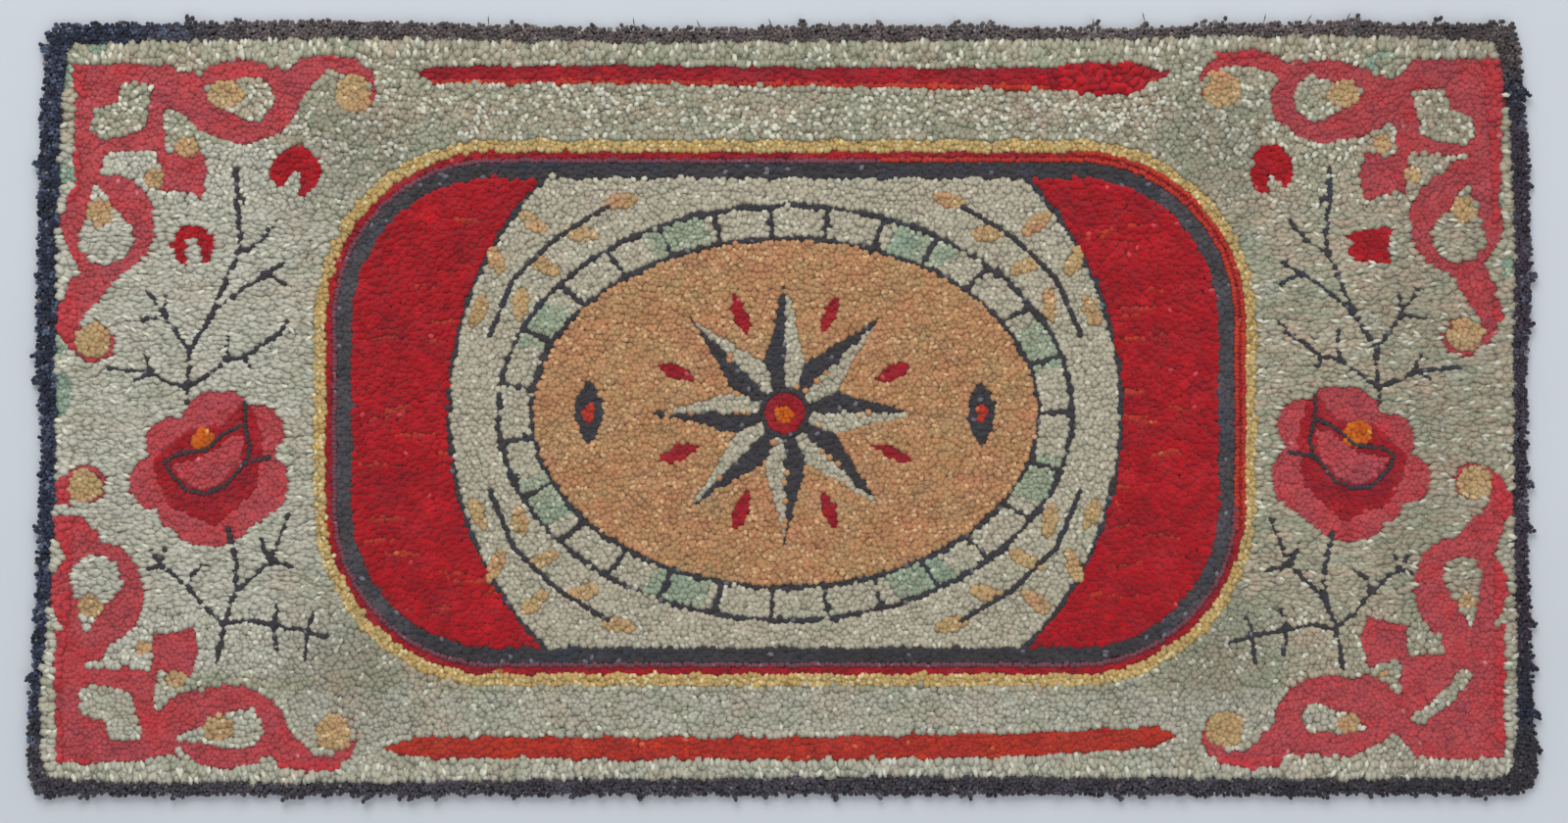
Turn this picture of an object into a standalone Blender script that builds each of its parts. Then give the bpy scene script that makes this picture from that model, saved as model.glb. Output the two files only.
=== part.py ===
"""Hooked rug, lying flat: a foundation cloth, a clipped pile field and a longer, dark pile border.

Metres, +Z up. X runs along the rug's length and Y across it; the origin is the middle of the underside.
"""

import math
import random
from collections import namedtuple

import bpy
import bmesh
from mathutils import Vector, noise

# The rug's four corners, counterclockwise from the lower left one. It is a little wider along its lower edge.
CORNERS = (
    Vector((-0.6831, -0.3492)),
    Vector((0.6869, -0.3492)),
    Vector((0.6719, 0.3488)),
    Vector((-0.6661, 0.3488)),
)
CORNER_RADIUS = 0.020
FIELD_CORNER_RADIUS = 0.012

# How each edge strays outwards from a straight line and how wide its dark border is, at a share of the way
# along it. Edges run counterclockwise, from one corner to the next.
EdgeRow = namedtuple("EdgeRow", "along bow_mm border_mm")
EDGES = {
    "lower": (
        EdgeRow(0.00, 0.0, 17.0),
        EdgeRow(0.15, 1.0, 15.0),
        EdgeRow(0.35, 0.5, 18.0),
        EdgeRow(0.60, -0.5, 20.0),
        EdgeRow(0.85, 0.0, 18.0),
        EdgeRow(1.00, 0.0, 19.0),
    ),
    "right": (
        EdgeRow(0.00, 0.0, 24.0),
        EdgeRow(0.15, -3.5, 17.0),
        EdgeRow(0.30, -4.5, 16.5),
        EdgeRow(0.50, -3.5, 15.0),
        EdgeRow(0.70, 3.5, 18.0),
        EdgeRow(0.85, 3.0, 18.0),
        EdgeRow(1.00, -3.0, 19.0),
    ),
    "upper": (
        EdgeRow(0.00, 0.0, 17.0),
        EdgeRow(0.13, 2.0, 16.0),
        EdgeRow(0.30, -4.0, 13.0),
        EdgeRow(0.42, -1.0, 17.0),
        EdgeRow(0.60, -4.0, 16.0),
        EdgeRow(0.82, 3.0, 19.0),
        EdgeRow(1.00, 0.0, 20.0),
    ),
    "left": (
        EdgeRow(0.00, 0.0, 21.0),
        EdgeRow(0.15, 3.5, 21.0),
        EdgeRow(0.38, 3.0, 21.0),
        EdgeRow(0.55, -4.5, 17.0),
        EdgeRow(0.75, -3.5, 15.0),
        EdgeRow(0.88, 1.0, 14.0),
        EdgeRow(1.00, 0.0, 16.0),
    ),
}
STATIONS = {"lower": 132, "right": 66, "upper": 132, "left": 66}

# Foundation cloth: hessian with its hem turned under, set back from the pile's rim except where it peeps out.
CLOTH_THICKNESS = 0.0016
CLOTH_SETBACK = 0.0015
CLOTH_STEP = 2
Peep = namedtuple("Peep", "x_mm half_width_mm reach_mm")
PEEPS = (Peep(-368.0, 22.0, 4.5), Peep(222.0, 14.0, 4.0))

GAP = 0.0003
FIELD_TO_BORDER = 0.0005
PILE_FOOT = CLOTH_THICKNESS + GAP

# Field pile: its top face is lumpy, and a later mend near the upper edge stands proud of it.
FIELD_TOP = 0.0098
FIELD_LUMP = 0.0011
FIELD_LUMP_SPAN = 0.055
FIELD_RIM_DROP = 0.0010
FIELD_CELL = 2
MEND_MIDDLE = Vector((0.277, 0.299))
MEND_HALF = Vector((0.062, 0.020))
MEND_RISE = 0.0022

# Border pile: its section from the outer foot, over the crown, to the inner foot.
ProfileRow = namedtuple("ProfileRow", "across height_mm lumpy")
PROFILE = (
    ProfileRow(0.02, 1.9, 0.0),
    ProfileRow(-0.03, 5.4, 0.6),
    ProfileRow(0.12, 10.2, 1.0),
    ProfileRow(0.55, 12.0, 1.0),
    ProfileRow(0.97, 10.6, 0.5),
    ProfileRow(1.00, 1.9, 0.0),
)
BORDER_LUMP = 0.0014
BORDER_LUMP_SPAN = 0.014

# Locks: short tapered tufts that stick out of the border's outer wall, with their tips near the floor.
LOCK_SHARE = 0.56
LOCK_SEED = 11
LOCK_SHORTEST = 0.0022
LOCK_LONGEST = 0.0078
LOCK_LEAN = 0.0032
LOCK_TIP_SHARE = 0.34
LOCK_DROP = 0.0024
LOCK_ROOT_TOP = 0.0048

COLLECTION = "hooked_rug"
HESSIAN = (0.60, 0.53, 0.40)
SAGE_WOOL = (0.36, 0.35, 0.25)
NAVY_WOOL = (0.020, 0.022, 0.034)


def clear_scene():
    for old in list(bpy.data.objects):
        bpy.data.objects.remove(old, do_unlink=True)


def wool(name, colour, roughness=0.95):
    material = bpy.data.materials.new(name)
    material.use_nodes = True
    shader = material.node_tree.nodes["Principled BSDF"]
    shader.inputs["Base Color"].default_value = (*colour, 1.0)
    shader.inputs["Roughness"].default_value = roughness
    shader.inputs["Metallic"].default_value = 0.0
    return material


def read_edge(side, column, along):
    """The value of a column of EDGES at a share of the way along a side, eased from row to row."""
    rows = EDGES[side]
    for here, there in zip(rows, rows[1:]):
        if along <= there.along:
            share = (along - here.along) / (there.along - here.along)
            eased = 0.5 - 0.5 * math.cos(math.pi * share)
            low, high = getattr(here, column), getattr(there, column)
            return low + (high - low) * eased
    return getattr(rows[-1], column)


def outward_of(index):
    """The outward normal of a side."""
    run = (CORNERS[(index + 1) % 4] - CORNERS[index]).normalized()
    return Vector((run.y, -run.x))


def inset_corner(index):
    """A corner of the field: the rug's corner moved in by the border of the two sides that meet there."""
    sides = list(EDGES)
    before, after = sides[index - 1], sides[index]
    return (
        CORNERS[index]
        - outward_of(index - 1) * read_edge(before, "border_mm", 1.0) / 1000
        - outward_of(index) * read_edge(after, "border_mm", 0.0) / 1000
    )


def edge_point(index, along, inner, radius):
    """A point of the rug's outer line, or of the border's inner line, with the corners rounded."""
    side = list(EDGES)[index]
    if inner:
        start, end = inset_corner(index), inset_corner((index + 1) % 4)
        first, last = (read_edge(side, "border_mm", end_share) / 1000 for end_share in (0.0, 1.0))
        stray = first + (last - first) * along - read_edge(side, "border_mm", along) / 1000
    else:
        start, end = CORNERS[index], CORNERS[(index + 1) % 4]
        stray = 0.0
    length = (end - start).length
    cut = radius * (1 - math.sqrt(0.5))
    run = cut + (length - 2 * cut) * along
    from_corner = min(run, length - run)
    rounding = radius - math.sqrt(radius**2 - (radius - from_corner) ** 2) if from_corner < radius else 0.0
    place = start + (end - start) * (run / length)
    return place + outward_of(index) * (read_edge(side, "bow_mm", along) / 1000 + stray - rounding)


def stations():
    """(side index, share along it) of each station round the rug, counterclockwise, each corner once."""
    for index, count in enumerate(STATIONS.values()):
        for step in range(count):
            yield index, step / count


def lump(x, y, span, seed):
    """Soft unevenness from -1 to 1, with lumps about span across."""
    return noise.noise(Vector((x / span, y / span, seed)), noise_basis="PERLIN_NEW")


def finish(name, mesh, material):
    """A named object of the rug, shaded smooth but for its sharp edges."""
    made = bpy.data.objects.new(name, mesh)
    mesh.materials.append(material)
    mesh.shade_smooth()
    mesh.set_sharp_from_angle(angle=math.radians(50))
    bpy.data.collections[COLLECTION].objects.link(made)
    return made


def peep(x):
    """How far the cloth peeps out past the upper edge's usual setback, at a place along it."""
    reach = 0.0
    for x_mm, half_width_mm, reach_mm in PEEPS:
        off = min(abs(x * 1000 - x_mm) / half_width_mm, 1.0)
        reach += reach_mm / 1000 * (0.5 + 0.5 * math.cos(math.pi * off))
    return reach


def foundation_cloth():
    """The hessian sheet: the rug's outline as a flat curve, thickened, with its underside on the floor."""
    outline = []
    for index, along in list(stations())[::CLOTH_STEP]:
        outer = edge_point(index, along, False, CORNER_RADIUS)
        inner = edge_point(index, along, True, FIELD_CORNER_RADIUS)
        peeping = peep(outer.x) if list(EDGES)[index] == "upper" else 0.0
        outline.append(outer + (inner - outer).normalized() * (CLOTH_SETBACK - peeping))
    flat = bpy.data.curves.new("foundation_outline", "CURVE")
    flat.dimensions = "2D"
    flat.fill_mode = "BOTH"
    flat.extrude = CLOTH_THICKNESS / 2
    spline = flat.splines.new("POLY")
    spline.use_cyclic_u = True
    spline.points.add(len(outline) - 1)
    for point, place in zip(spline.points, outline):
        point.co = (place.x, place.y, 0.0, 1.0)
    flat.materials.append(wool("hessian_cloth", HESSIAN))
    made = bpy.data.objects.new("foundation_cloth", flat)
    made.location.z = CLOTH_THICKNESS / 2
    bpy.data.collections[COLLECTION].objects.link(made)
    return made


def field_edge(index, along):
    """A point of the field's rim, just inside the border's inner line."""
    place = edge_point(index, along, True, FIELD_CORNER_RADIUS)
    outward = outward_of(index)
    if along in (0.0, 1.0):
        other = outward_of(index - 1 if along == 0.0 else (index + 1) % 4)
        outward = (outward + other).normalized()
    return place - outward * FIELD_TO_BORDER


def field_place(s, t):
    """Where a share across (s) and up (t) of the field lies, blended from its four uneven edges."""
    lower, right = field_edge(0, s), field_edge(1, t)
    upper, left = field_edge(2, 1 - s), field_edge(3, 1 - t)
    ruled = lower * (1 - t) + upper * t + left * (1 - s) + right * s
    corners = (
        field_edge(0, 0.0) * (1 - s) * (1 - t)
        + field_edge(0, 1.0) * s * (1 - t)
        + field_edge(2, 0.0) * s * t
        + field_edge(2, 1.0) * (1 - s) * t
    )
    return ruled - corners


def field_height(place, rim):
    """The pile's height: uneven all over, lower along its rim, proud at the mend."""
    coarse = lump(place.x, place.y, FIELD_LUMP_SPAN, 3.0)
    uneven = coarse + 0.5 * lump(place.x, place.y, FIELD_LUMP_SPAN / 2, 8.0)
    off = math.hypot((place.x - MEND_MIDDLE.x) / MEND_HALF.x, (place.y - MEND_MIDDLE.y) / MEND_HALF.y)
    mend = MEND_RISE * math.exp(-off * off)
    return FIELD_TOP + FIELD_LUMP * uneven + mend - (FIELD_RIM_DROP if rim else 0.0)


def field_pile():
    """The hooked field: a grid laid to the field's edges, uneven on top and drawn down to a flat back."""
    across, up = STATIONS["lower"] // FIELD_CELL, STATIONS["right"] // FIELD_CELL
    body = bmesh.new()
    bmesh.ops.create_grid(body, x_segments=across, y_segments=up, size=0.5)
    for vert in body.verts:
        s, t = round((vert.co.x + 0.5) * across) / across, round((vert.co.y + 0.5) * up) / up
        place = field_place(s, t)
        rim = s in (0.0, 1.0) or t in (0.0, 1.0)
        vert.co = (place.x, place.y, field_height(place, rim))
    back = bmesh.ops.extrude_face_region(body, geom=body.faces[:])["geom"]
    back_verts = [part for part in back if isinstance(part, bmesh.types.BMVert)]
    for vert in back_verts:
        vert.co.z = PILE_FOOT
    bmesh.ops.recalc_face_normals(body, faces=body.faces)
    back_edges = [part for part in back if isinstance(part, bmesh.types.BMEdge)]
    bmesh.ops.dissolve_limit(body, angle_limit=math.radians(1), verts=back_verts, edges=back_edges)
    mesh = bpy.data.meshes.new("field_pile")
    body.to_mesh(mesh)
    body.free()
    return finish("field_pile", mesh, wool("sage_wool_pile", SAGE_WOOL))


def border_section(index, along):
    """The border's section at a station, as points in space, made lumpy."""
    outer = edge_point(index, along, False, CORNER_RADIUS)
    inner = edge_point(index, along, True, FIELD_CORNER_RADIUS)
    for number, (across, height_mm, lumpy) in enumerate(PROFILE):
        place = outer + (inner - outer) * across
        swell = BORDER_LUMP * lumpy * lump(place.x, place.y, BORDER_LUMP_SPAN, 20.0 + 4 * number)
        aside = (outer - inner).normalized() * (1.4 * swell if across < 0.5 else 0.0)
        yield Vector((place.x + aside.x, place.y + aside.y, height_mm / 1000 + swell))


def is_outer_wall(face):
    """Whether a face of the border is on its outer wall, and clear of where the cloth peeps out."""
    middle = face.calc_center_median()
    faces_out = face.normal.xy.dot(middle.xy) > 0 and abs(face.normal.z) < 0.7
    return faces_out and middle.z < LOCK_ROOT_TOP and not (middle.y > 0 and peep(middle.x) > 0)


def add_locks(body):
    """Short tapered locks drawn out of the outer wall, each with its root in the border."""
    draw = random.Random(LOCK_SEED)
    wall = [face for face in body.faces if is_outer_wall(face) and draw.random() < LOCK_SHARE]
    for lock in bmesh.ops.extrude_discrete_faces(body, faces=wall)["faces"]:
        middle = lock.calc_center_median()
        sideways = lock.normal.cross(Vector((0, 0, 1)))
        reach = lock.normal * draw.uniform(LOCK_SHORTEST, LOCK_LONGEST)
        reach += sideways * draw.uniform(-LOCK_LEAN, LOCK_LEAN)
        reach.z = -LOCK_DROP
        for vert in lock.verts:
            vert.co = middle + (vert.co - middle) * LOCK_TIP_SHARE + reach


def border_pile():
    """The dark border: a sheet rolled into a ring round the rug and closed on itself, with locks."""
    ring, rows = list(stations()), len(PROFILE)
    sections = [list(border_section(index, along)) for index, along in ring]
    body = bmesh.new()
    bmesh.ops.create_grid(body, x_segments=len(ring), y_segments=rows, size=0.5)
    for vert in body.verts:
        station = round((vert.co.x + 0.5) * len(ring)) % len(ring)
        row = round((vert.co.y + 0.5) * rows) % rows
        vert.co = sections[station][row]
    bmesh.ops.remove_doubles(body, verts=body.verts, dist=1e-6)
    bmesh.ops.recalc_face_normals(body, faces=body.faces)
    add_locks(body)
    mesh = bpy.data.meshes.new("border_pile")
    body.to_mesh(mesh)
    body.free()
    return finish("border_pile", mesh, wool("navy_wool_pile", NAVY_WOOL))


def main():
    clear_scene()
    bpy.context.scene.collection.children.link(bpy.data.collections.new(COLLECTION))
    foundation_cloth()
    field_pile()
    border_pile()


main()
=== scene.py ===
"""Hooked rug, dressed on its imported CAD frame: hessian, hooked wool tufts by yarn, and a shaggy border.

The frame is in metres. The pattern is drawn in millimetres from the middle of the rug, +X along its length
and +Y towards its upper edge.
"""

import math
from collections import namedtuple
from types import SimpleNamespace

import bpy
import numpy as np
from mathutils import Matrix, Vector, noise
from mathutils.kdtree import KDTree


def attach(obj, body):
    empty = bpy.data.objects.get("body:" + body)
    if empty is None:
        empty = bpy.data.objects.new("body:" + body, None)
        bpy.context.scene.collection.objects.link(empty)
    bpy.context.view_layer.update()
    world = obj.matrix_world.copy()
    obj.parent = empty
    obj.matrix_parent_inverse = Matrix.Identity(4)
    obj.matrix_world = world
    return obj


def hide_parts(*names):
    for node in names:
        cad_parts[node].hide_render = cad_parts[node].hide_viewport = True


bl_info = {
    "name": "Hooked Rug",
    "version": (1, 0, 0),
    "blender": (4, 5, 0),
    "location": "3D View > Sidebar > Rug",
    "description": "Hooks a wool rug on hessian, yarn by yarn, with a shaggy border",
    "category": "Object",
}

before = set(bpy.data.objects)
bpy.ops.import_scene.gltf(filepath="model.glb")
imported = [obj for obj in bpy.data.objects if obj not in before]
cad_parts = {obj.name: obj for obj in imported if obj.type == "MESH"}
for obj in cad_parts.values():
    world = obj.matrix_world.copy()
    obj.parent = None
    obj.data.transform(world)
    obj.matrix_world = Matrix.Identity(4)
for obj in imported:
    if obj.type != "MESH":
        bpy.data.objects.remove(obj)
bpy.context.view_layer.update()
MM = 0.001


def linear(hex_colour):
    """An sRGB hex colour as linear red, green and blue."""
    shares = (int(hex_colour[at : at + 2], 16) / 255 for at in (1, 3, 5))
    return tuple(s / 12.92 if s <= 0.04045 else ((s + 0.055) / 1.055) ** 2.4 for s in shares)


def yarn_colour(name, description, hex_colour):
    """A colour property of the sidebar panel."""
    return bpy.props.FloatVectorProperty(
        name=name, description=description, subtype="COLOR", min=0.0, max=1.0, default=linear(hex_colour)
    )


def length(name, description, metres):
    """A length property of the sidebar panel."""
    return bpy.props.FloatProperty(
        name=name, description=description, unit="LENGTH", subtype="DISTANCE", min=0.0, default=metres
    )


class YarnColours(bpy.types.PropertyGroup):
    """The dyed yarns that the rug is hooked from."""

    sage: yarn_colour("Sage", "Ground of the outer field", "#a49f88")
    cream: yarn_colour("Cream", "Ground of the framed panel", "#b3ab95")
    coral: yarn_colour("Coral", "Corner scrolls and rose petals", "#b8474b")
    crimson: yarn_colour("Crimson", "Upper bar, frame line and rose hearts", "#9f1421")
    cherry: yarn_colour("Cherry", "Horseshoes, end caps and the upper bar's mend", "#aa0b19")
    orange: yarn_colour("Orange", "Lower bar, rose middles and streaks", "#b43022")
    amber: yarn_colour("Amber", "Rose middles", "#c75808")
    tan: yarn_colour("Tan", "Buds and leaf sprays", "#ba976a")
    fawn: yarn_colour("Fawn", "The panel's medallion", "#b8875c")
    yellow: yarn_colour("Yellow", "Outer line of the frame", "#c4a467")
    charcoal: yarn_colour("Charcoal", "Inner line of the frame, sprigs and veins", "#433f42")
    green: yarn_colour("Green", "Some blocks of the medallion's ring", "#959f85")
    mauve: yarn_colour("Mauve", "Thin line inside the red one", "#75424d")
    navy: yarn_colour("Navy", "Border on the left and below", "#31364a")
    umber: yarn_colour("Umber", "Faded border along the top", "#655a59")
    jute: yarn_colour("Jute", "Hessian foundation", "#b39b74")
    floor: yarn_colour("Floor", "Pale floor of the stage", "#ced2d8")


class RugSizes(bpy.types.PropertyGroup):
    """Sizes of the hooking."""

    ground_pitch: length("Ground pitch", "Distance between tufts of the sage and cream grounds", 0.0044)
    figure_pitch: length("Figure pitch", "Distance between tufts of the coloured figures", 0.0038)
    lock_pitch: length("Lock pitch", "Distance between locks of the border", 0.0025)
    clump_pitch: length("Clump pitch", "Distance between the clumps that the locks gather in", 0.0088)
    row_pitch: length("Row pitch", "Distance between tufts along a single hooked row", 0.0034)
    pile_top: length("Pile top", "Height of the field's clipped pile", 0.0098)
    bed_top: length("Bed top", "Height to which the yarns stand packed together", 0.0081)
    border_top: length("Border top", "Height of the border's longer pile", 0.0118)
    cloth: length("Cloth", "Thickness of the hessian", 0.0014)


# Distances to shapes, in millimetres and negative inside. Places are rows of x and y.


def ellipse(p, x, y, across, up, turn=0.0):
    """Distance to an ellipse, given its middle, half sizes and turn in degrees."""
    c, s = math.cos(math.radians(turn)), math.sin(math.radians(turn))
    u, v = p[:, 0] - x, p[:, 1] - y
    u, v = u * c + v * s, v * c - u * s
    near = np.hypot(u / across, v / up)
    slope = np.hypot(u / across**2, v / up**2) + 1e-9
    return near * (near - 1) / slope


def almond(p, x, y, half_length, half_width, turn=0.0):
    """Distance to a pointed oval: where two equal discs overlap."""
    radius = (half_length**2 + half_width**2) / (2 * half_width)
    c, s = math.cos(math.radians(turn)), math.sin(math.radians(turn))
    u, v = p[:, 0] - x, p[:, 1] - y
    u, v = u * c + v * s, v * c - u * s
    return np.hypot(u, np.abs(v) + radius - half_width) - radius


def polygon(p, corners):
    """Distance to a closed outline."""
    corners = np.asarray(corners, float)
    nearest = np.full(len(p), np.inf)
    inside = np.zeros(len(p), bool)
    for start, end in zip(corners, np.roll(corners, -1, axis=0)):
        run, off = end - start, p - start
        share = np.clip(off @ run / max(run @ run, 1e-12), 0, 1)
        nearest = np.minimum(nearest, np.hypot(off[:, 0] - share * run[0], off[:, 1] - share * run[1]))
        if run[1]:
            crosses = (start[1] > p[:, 1]) != (end[1] > p[:, 1])
            inside ^= crosses & (off[:, 0] < off[:, 1] / run[1] * run[0])
    return np.where(inside, -nearest, nearest)


def stroke(p, path, *halves):
    """Distance to a line with a half width at each of its points, or one for all."""
    path = np.asarray(path, float)
    halves = halves if len(halves) == len(path) else halves[:1] * len(path)
    nearest = np.full(len(p), np.inf)
    for start, end, first, last in zip(path, path[1:], halves, halves[1:]):
        run, off = end - start, p - start
        share = np.clip(off @ run / max(run @ run, 1e-12), 0, 1)
        away = np.hypot(off[:, 0] - share * run[0], off[:, 1] - share * run[1])
        nearest = np.minimum(nearest, away - first - (last - first) * share)
    return nearest


def rounded_box(p, half_x, half_y, radius):
    """Distance to a box with rounded corners, about the middle."""
    u, v = np.abs(p[:, 0]) - half_x + radius, np.abs(p[:, 1]) - half_y + radius
    return np.hypot(np.maximum(u, 0), np.maximum(v, 0)) + np.minimum(np.maximum(u, v), 0) - radius


def union(*gaps):
    return np.minimum.reduce(gaps)


# Corner scrolls: drawn once, from the corner inwards along the length (u) and the width (v), and mirrored.
# Each was hooked freehand, so each corner has its own values: how far the long ring, the side ring, the
# opening, the body's inner corner and the lobe are shifted, where the side bud stands along u, how deep the
# notch in the outer edge is, how open the rings are, how wide the neck to the side ring is, and how far the
# webs beside the long ring reach, towards the body and short of the arm. The long ring's opening may run out
# to a tip, and a cut may part the leg from its bud; a cut beyond the rug's edge parts nothing.
Corner = namedtuple("Corner", "x y ring side opening inner lobe bud notch open neck web arm tip cut")
NO_CUT = -99
SCROLL_CORNERS = (
    Corner(-640.0, 312.0, (0, 0), (0, 0), (0, 0), (0, 0), (0, 0), 16, 5, 1.0, 22, 34, 0, 0, NO_CUT),
    Corner(652.0, 317.0, (6, 5), (10, 3), (9, 10), (15, 8), (8, 8), 32, 17, 0.96, 46, 44, 14, 0, NO_CUT),
    Corner(-657.0, -320.0, (6, -1), (8, 8), (6, 3), (9, 6), (9, 2), 25, 6, 0.9, 42, 40, -6, 15, 228),
    Corner(655.0, -317.0, (5, 5), (10, 10), (7, 5), (12, 16), (9, 9), 25, 19, 0.66, 50, 50, -5, 0, NO_CUT),
)
SCROLL_LOBE = ((80, 83), (113, 76), (120, 97), (115, 120), (99, 115), (78, 112))
SCROLL_OPENING = ((43, 18), (70, 20), (61, 58), (24, 67), (14, 60), (19, 41), (38, 37))
SCROLL_SLIVER = ((68, 32), (56, 42), (44, 50), (29, 70))
SCROLL_ARM = ((188, 14), (202, 4), (226, -2), (252, 1), (269, 15))
SCROLL_LEG = ((16, 186), (3, 212), (-6, 232), (-2, 252))
SCROLL_CALF = ((66, 165), (34, 200), (14, 222), (-4, 226), (-6, 204), (4, 186))


def scroll(p, corner):
    """Distances to a corner scroll's leaf, to its openings and to its buds."""
    inwards = (-math.copysign(1, corner.x), -math.copysign(1, corner.y))
    q = (p - (corner.x, corner.y)) * inwards
    ring, side = q - corner.ring, q - corner.side
    leg, lobe = q - (corner.bud - 16, 0), q - corner.lobe
    small = q - np.multiply(corner.lobe, (0.8, 0.3))
    u, v = 80 + corner.inner[0], 77 + corner.inner[1]
    neck, web, arm = corner.neck, corner.web, corner.arm
    leaf = union(
        polygon(q, ((0, 0), (112, 0), (102, 36), (u, 39), (u, v), (25, v + 2), (22, 116), (0, 116))) - 1,
        polygon(lobe, SCROLL_LOBE) - 1,
        stroke(lobe, ((74, 60), (82, 90)), 5),
        ellipse(ring, 150, 33, 53, 38),
        ellipse(side, 30, 145, 43, 47),
        stroke(q, SCROLL_ARM, 12, 9, 8, 7, 3),
        stroke(q, ((265, 6), (272, 20), (268, 38)), 3, 2.5, 1),
        stroke(leg, SCROLL_LEG, 17, 14, 12, 7),
        ellipse(leg, 18, 252, 19, 18),
        polygon(q, ((0, 80), (neck, 94), (neck + 16, 122), (40, 130), (0, 120))) - 1,
        polygon(q, ((80, 20), (86, web), (105, web + 17), (128, web + 27), (140, 20))) - 1,
        polygon(q, ((180, 0), (229 - arm, 5), (213 - arm, 20), (194 - arm, 46), (180, 58))) - 1,
        polygon(q - (corner.side[0], 0), SCROLL_CALF) - 1,
    )
    wide, narrow = corner.open, 12 * (1 - corner.open)
    opening = q - corner.opening
    # A scroll with narrow rings has only a sliver for its opening.
    sliver = wide < 0.8
    openings = union(
        stroke(ring, ((119 - corner.tip, 23), (138, 27), (161 + narrow, 31)), 1, 12 * wide, 20 * wide),
        stroke(side, ((19, 109), (23, 134), (28, 156)), 1, 13 * wide, 25 * wide),
        stroke(opening, SCROLL_SLIVER, 7, 4, 7, 6) if sliver else polygon(opening, SCROLL_OPENING) - 1,
        ellipse(q, 100, -8, 20, 8 + corner.notch),
        ellipse(q, 192, -7, 9, 11),
        ellipse(q, -9, 188, 13, 9),
        ellipse(q, 16, corner.cut, 34, 5),
        ellipse(q, -8, corner.cut + 16, 10, 20),
    )
    buds = union(
        ellipse(ring, 136 + corner.tip * 0.4, 27 + corner.tip * 0.25, 16.5 * wide, 12.5 * wide),
        ellipse(side, 23, 134, 12 * wide, 13 * wide),
        ellipse(small, 102, 74, 11, 9) + narrow * 1.5,
        ellipse(small, 72, 103, 9, 9) + narrow * 1.5,
        ellipse(q, 252, 27, 17, 17),
        ellipse(leg, 16, 250, 16, 15),
    )
    return leaf, openings, buds


# Roses: lobed petals round a two-part heart, in the left rose's own directions.
ROSE_MIDDLES = ((-519.0, -53.0), (517.0, -48.0))
ROSE_PETALS = ((8, 45, 34, 25), (42, 33, 28, 25), (44, -14, 30, 32), (2, -46, 38, 27), (-40, -14, 34, 26))
ROSE_PETALS += ((-34, 22, 24, 24), (8, -4, 52, 50), (-22, -34, 27, 24), (26, -34, 28, 24))
ROSE_VEINS = (
    ((-40, 5), (-29, 12), (-2, 16), (16, 32), (33, 39), (33, 62)),
    ((-40, 5), (-31, -9), (-20, -21), (-3, -24), (14, -17), (33, 4), (57, 10)),
    ((33, 39), (38, 18), (34, 4)),
)
ROSE_HEART = ((-48, 4), (-20, 30), (14, 36), (36, 60), (46, 20), (40, -20), (6, -50), (-34, -34))
ROSE_PETAL = ((-32, 2), (-4, 8), (20, 26), (32, 28), (28, 4), (10, -14), (-6, -19), (-22, -14))

# Twigs: charcoal sprigs of single hooked rows above and below each rose, from their foot.
TWIG_FEET = ((-538.0, 19.0), (541.5, 20.0))
TWIG = (
    ((0, 0), (2, 34), (24, 70), (32, 90), (46, 122), (48, 141), (45, 167), (44, 200)),
    ((46, 122), (65, 131), (81, 152)),
    ((24, 70), (51, 90), (71, 103), (88, 114)),
    ((71, 103), (90, 94)),
    ((2, 34), (-21, 66), (-37, 89)),
    ((-21, 66), (-19, 84)),
    ((-21, 66), (-42, 62)),
    ((0, 0), (-18, 6), (-33, 14), (-74, 18)),
    ((-33, 14), (-38, 30)),
    ((-33, 14), (-48, 6)),
    ((0, 0), (24, 16), (36, 26), (52, 28), (67, 39), (83, 49), (92, 62)),
    ((36, 26), (37, 52)),
    ((52, 28), (56, 19)),
    ((0, 0), (-2, -18)),
)
TWIG_KNOTS = ((50, 170), (70, 102), (24, 70), (-21, 66), (-33, 14), (36, 26), (0, 0), (46, 122), (22, 67))
LOW_TWIG_TOPS = ((-501.0, -108.0), (499.0, -112.0))
LOW_TWIG = (
    ((0, 0), (7, -33), (7, -58), (-4, -87), (-10, -122)),
    ((-4, -87), (-20, -73), (-36, -54), (-60, -33), (-71, -19)),
    ((-60, -33), (-57, -18)),
    ((-60, -33), (-74, -37)),
    ((-36, -54), (-33, -42), (-20, -34)),
    ((7, -58), (27, -40), (37, -29), (43, -17), (55, 14)),
    ((37, -29), (29, -9)),
    ((37, -29), (60, -35)),
    ((-4, -87), (18, -83), (41, -88), (72, -94), (92, -99)),
    ((41, -88), (45, -69)),
    ((41, -88), (44, -111)),
    ((72, -94), (77, -76)),
    ((72, -94), (69, -119)),
)
LOW_TWIG_KNOTS = ((38, -29), (42, -30), (-60, -33), (-36, -54), (7, -58), (-4, -87), (41, -88), (72, -94))

# Half widths of the single rows: a sprig's stem and its side twigs, and the finer lines.
STEM, SIDE_TWIG, FINE_LINE, VEIN = 1.8, 1.4, 1.3, 0.9
KNOT_HALF = 3.2
Row = namedtuple("Row", "yarn line half")

# Horseshoes: the middle, the half sizes, and the slit that opens from the inside outwards.
Horseshoe = namedtuple("Horseshoe", "x y across up slit opens")
HORSESHOES = (
    Horseshoe(-440, 215, 23, 23.5, ((-438, 212), (-451, 188)), (3.0, 11.0)),
    Horseshoe(-533, 148, 20, 20, ((-534, 151), (-531, 126)), (2.6, 7.5)),
    Horseshoe(444, 217, 20.5, 23.5, ((443, 211), (454, 190)), (3.0, 9.0)),
)
SOLID_BLOCK = ((514, 156), (537, 163), (552, 163), (550, 134), (520, 135))

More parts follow.
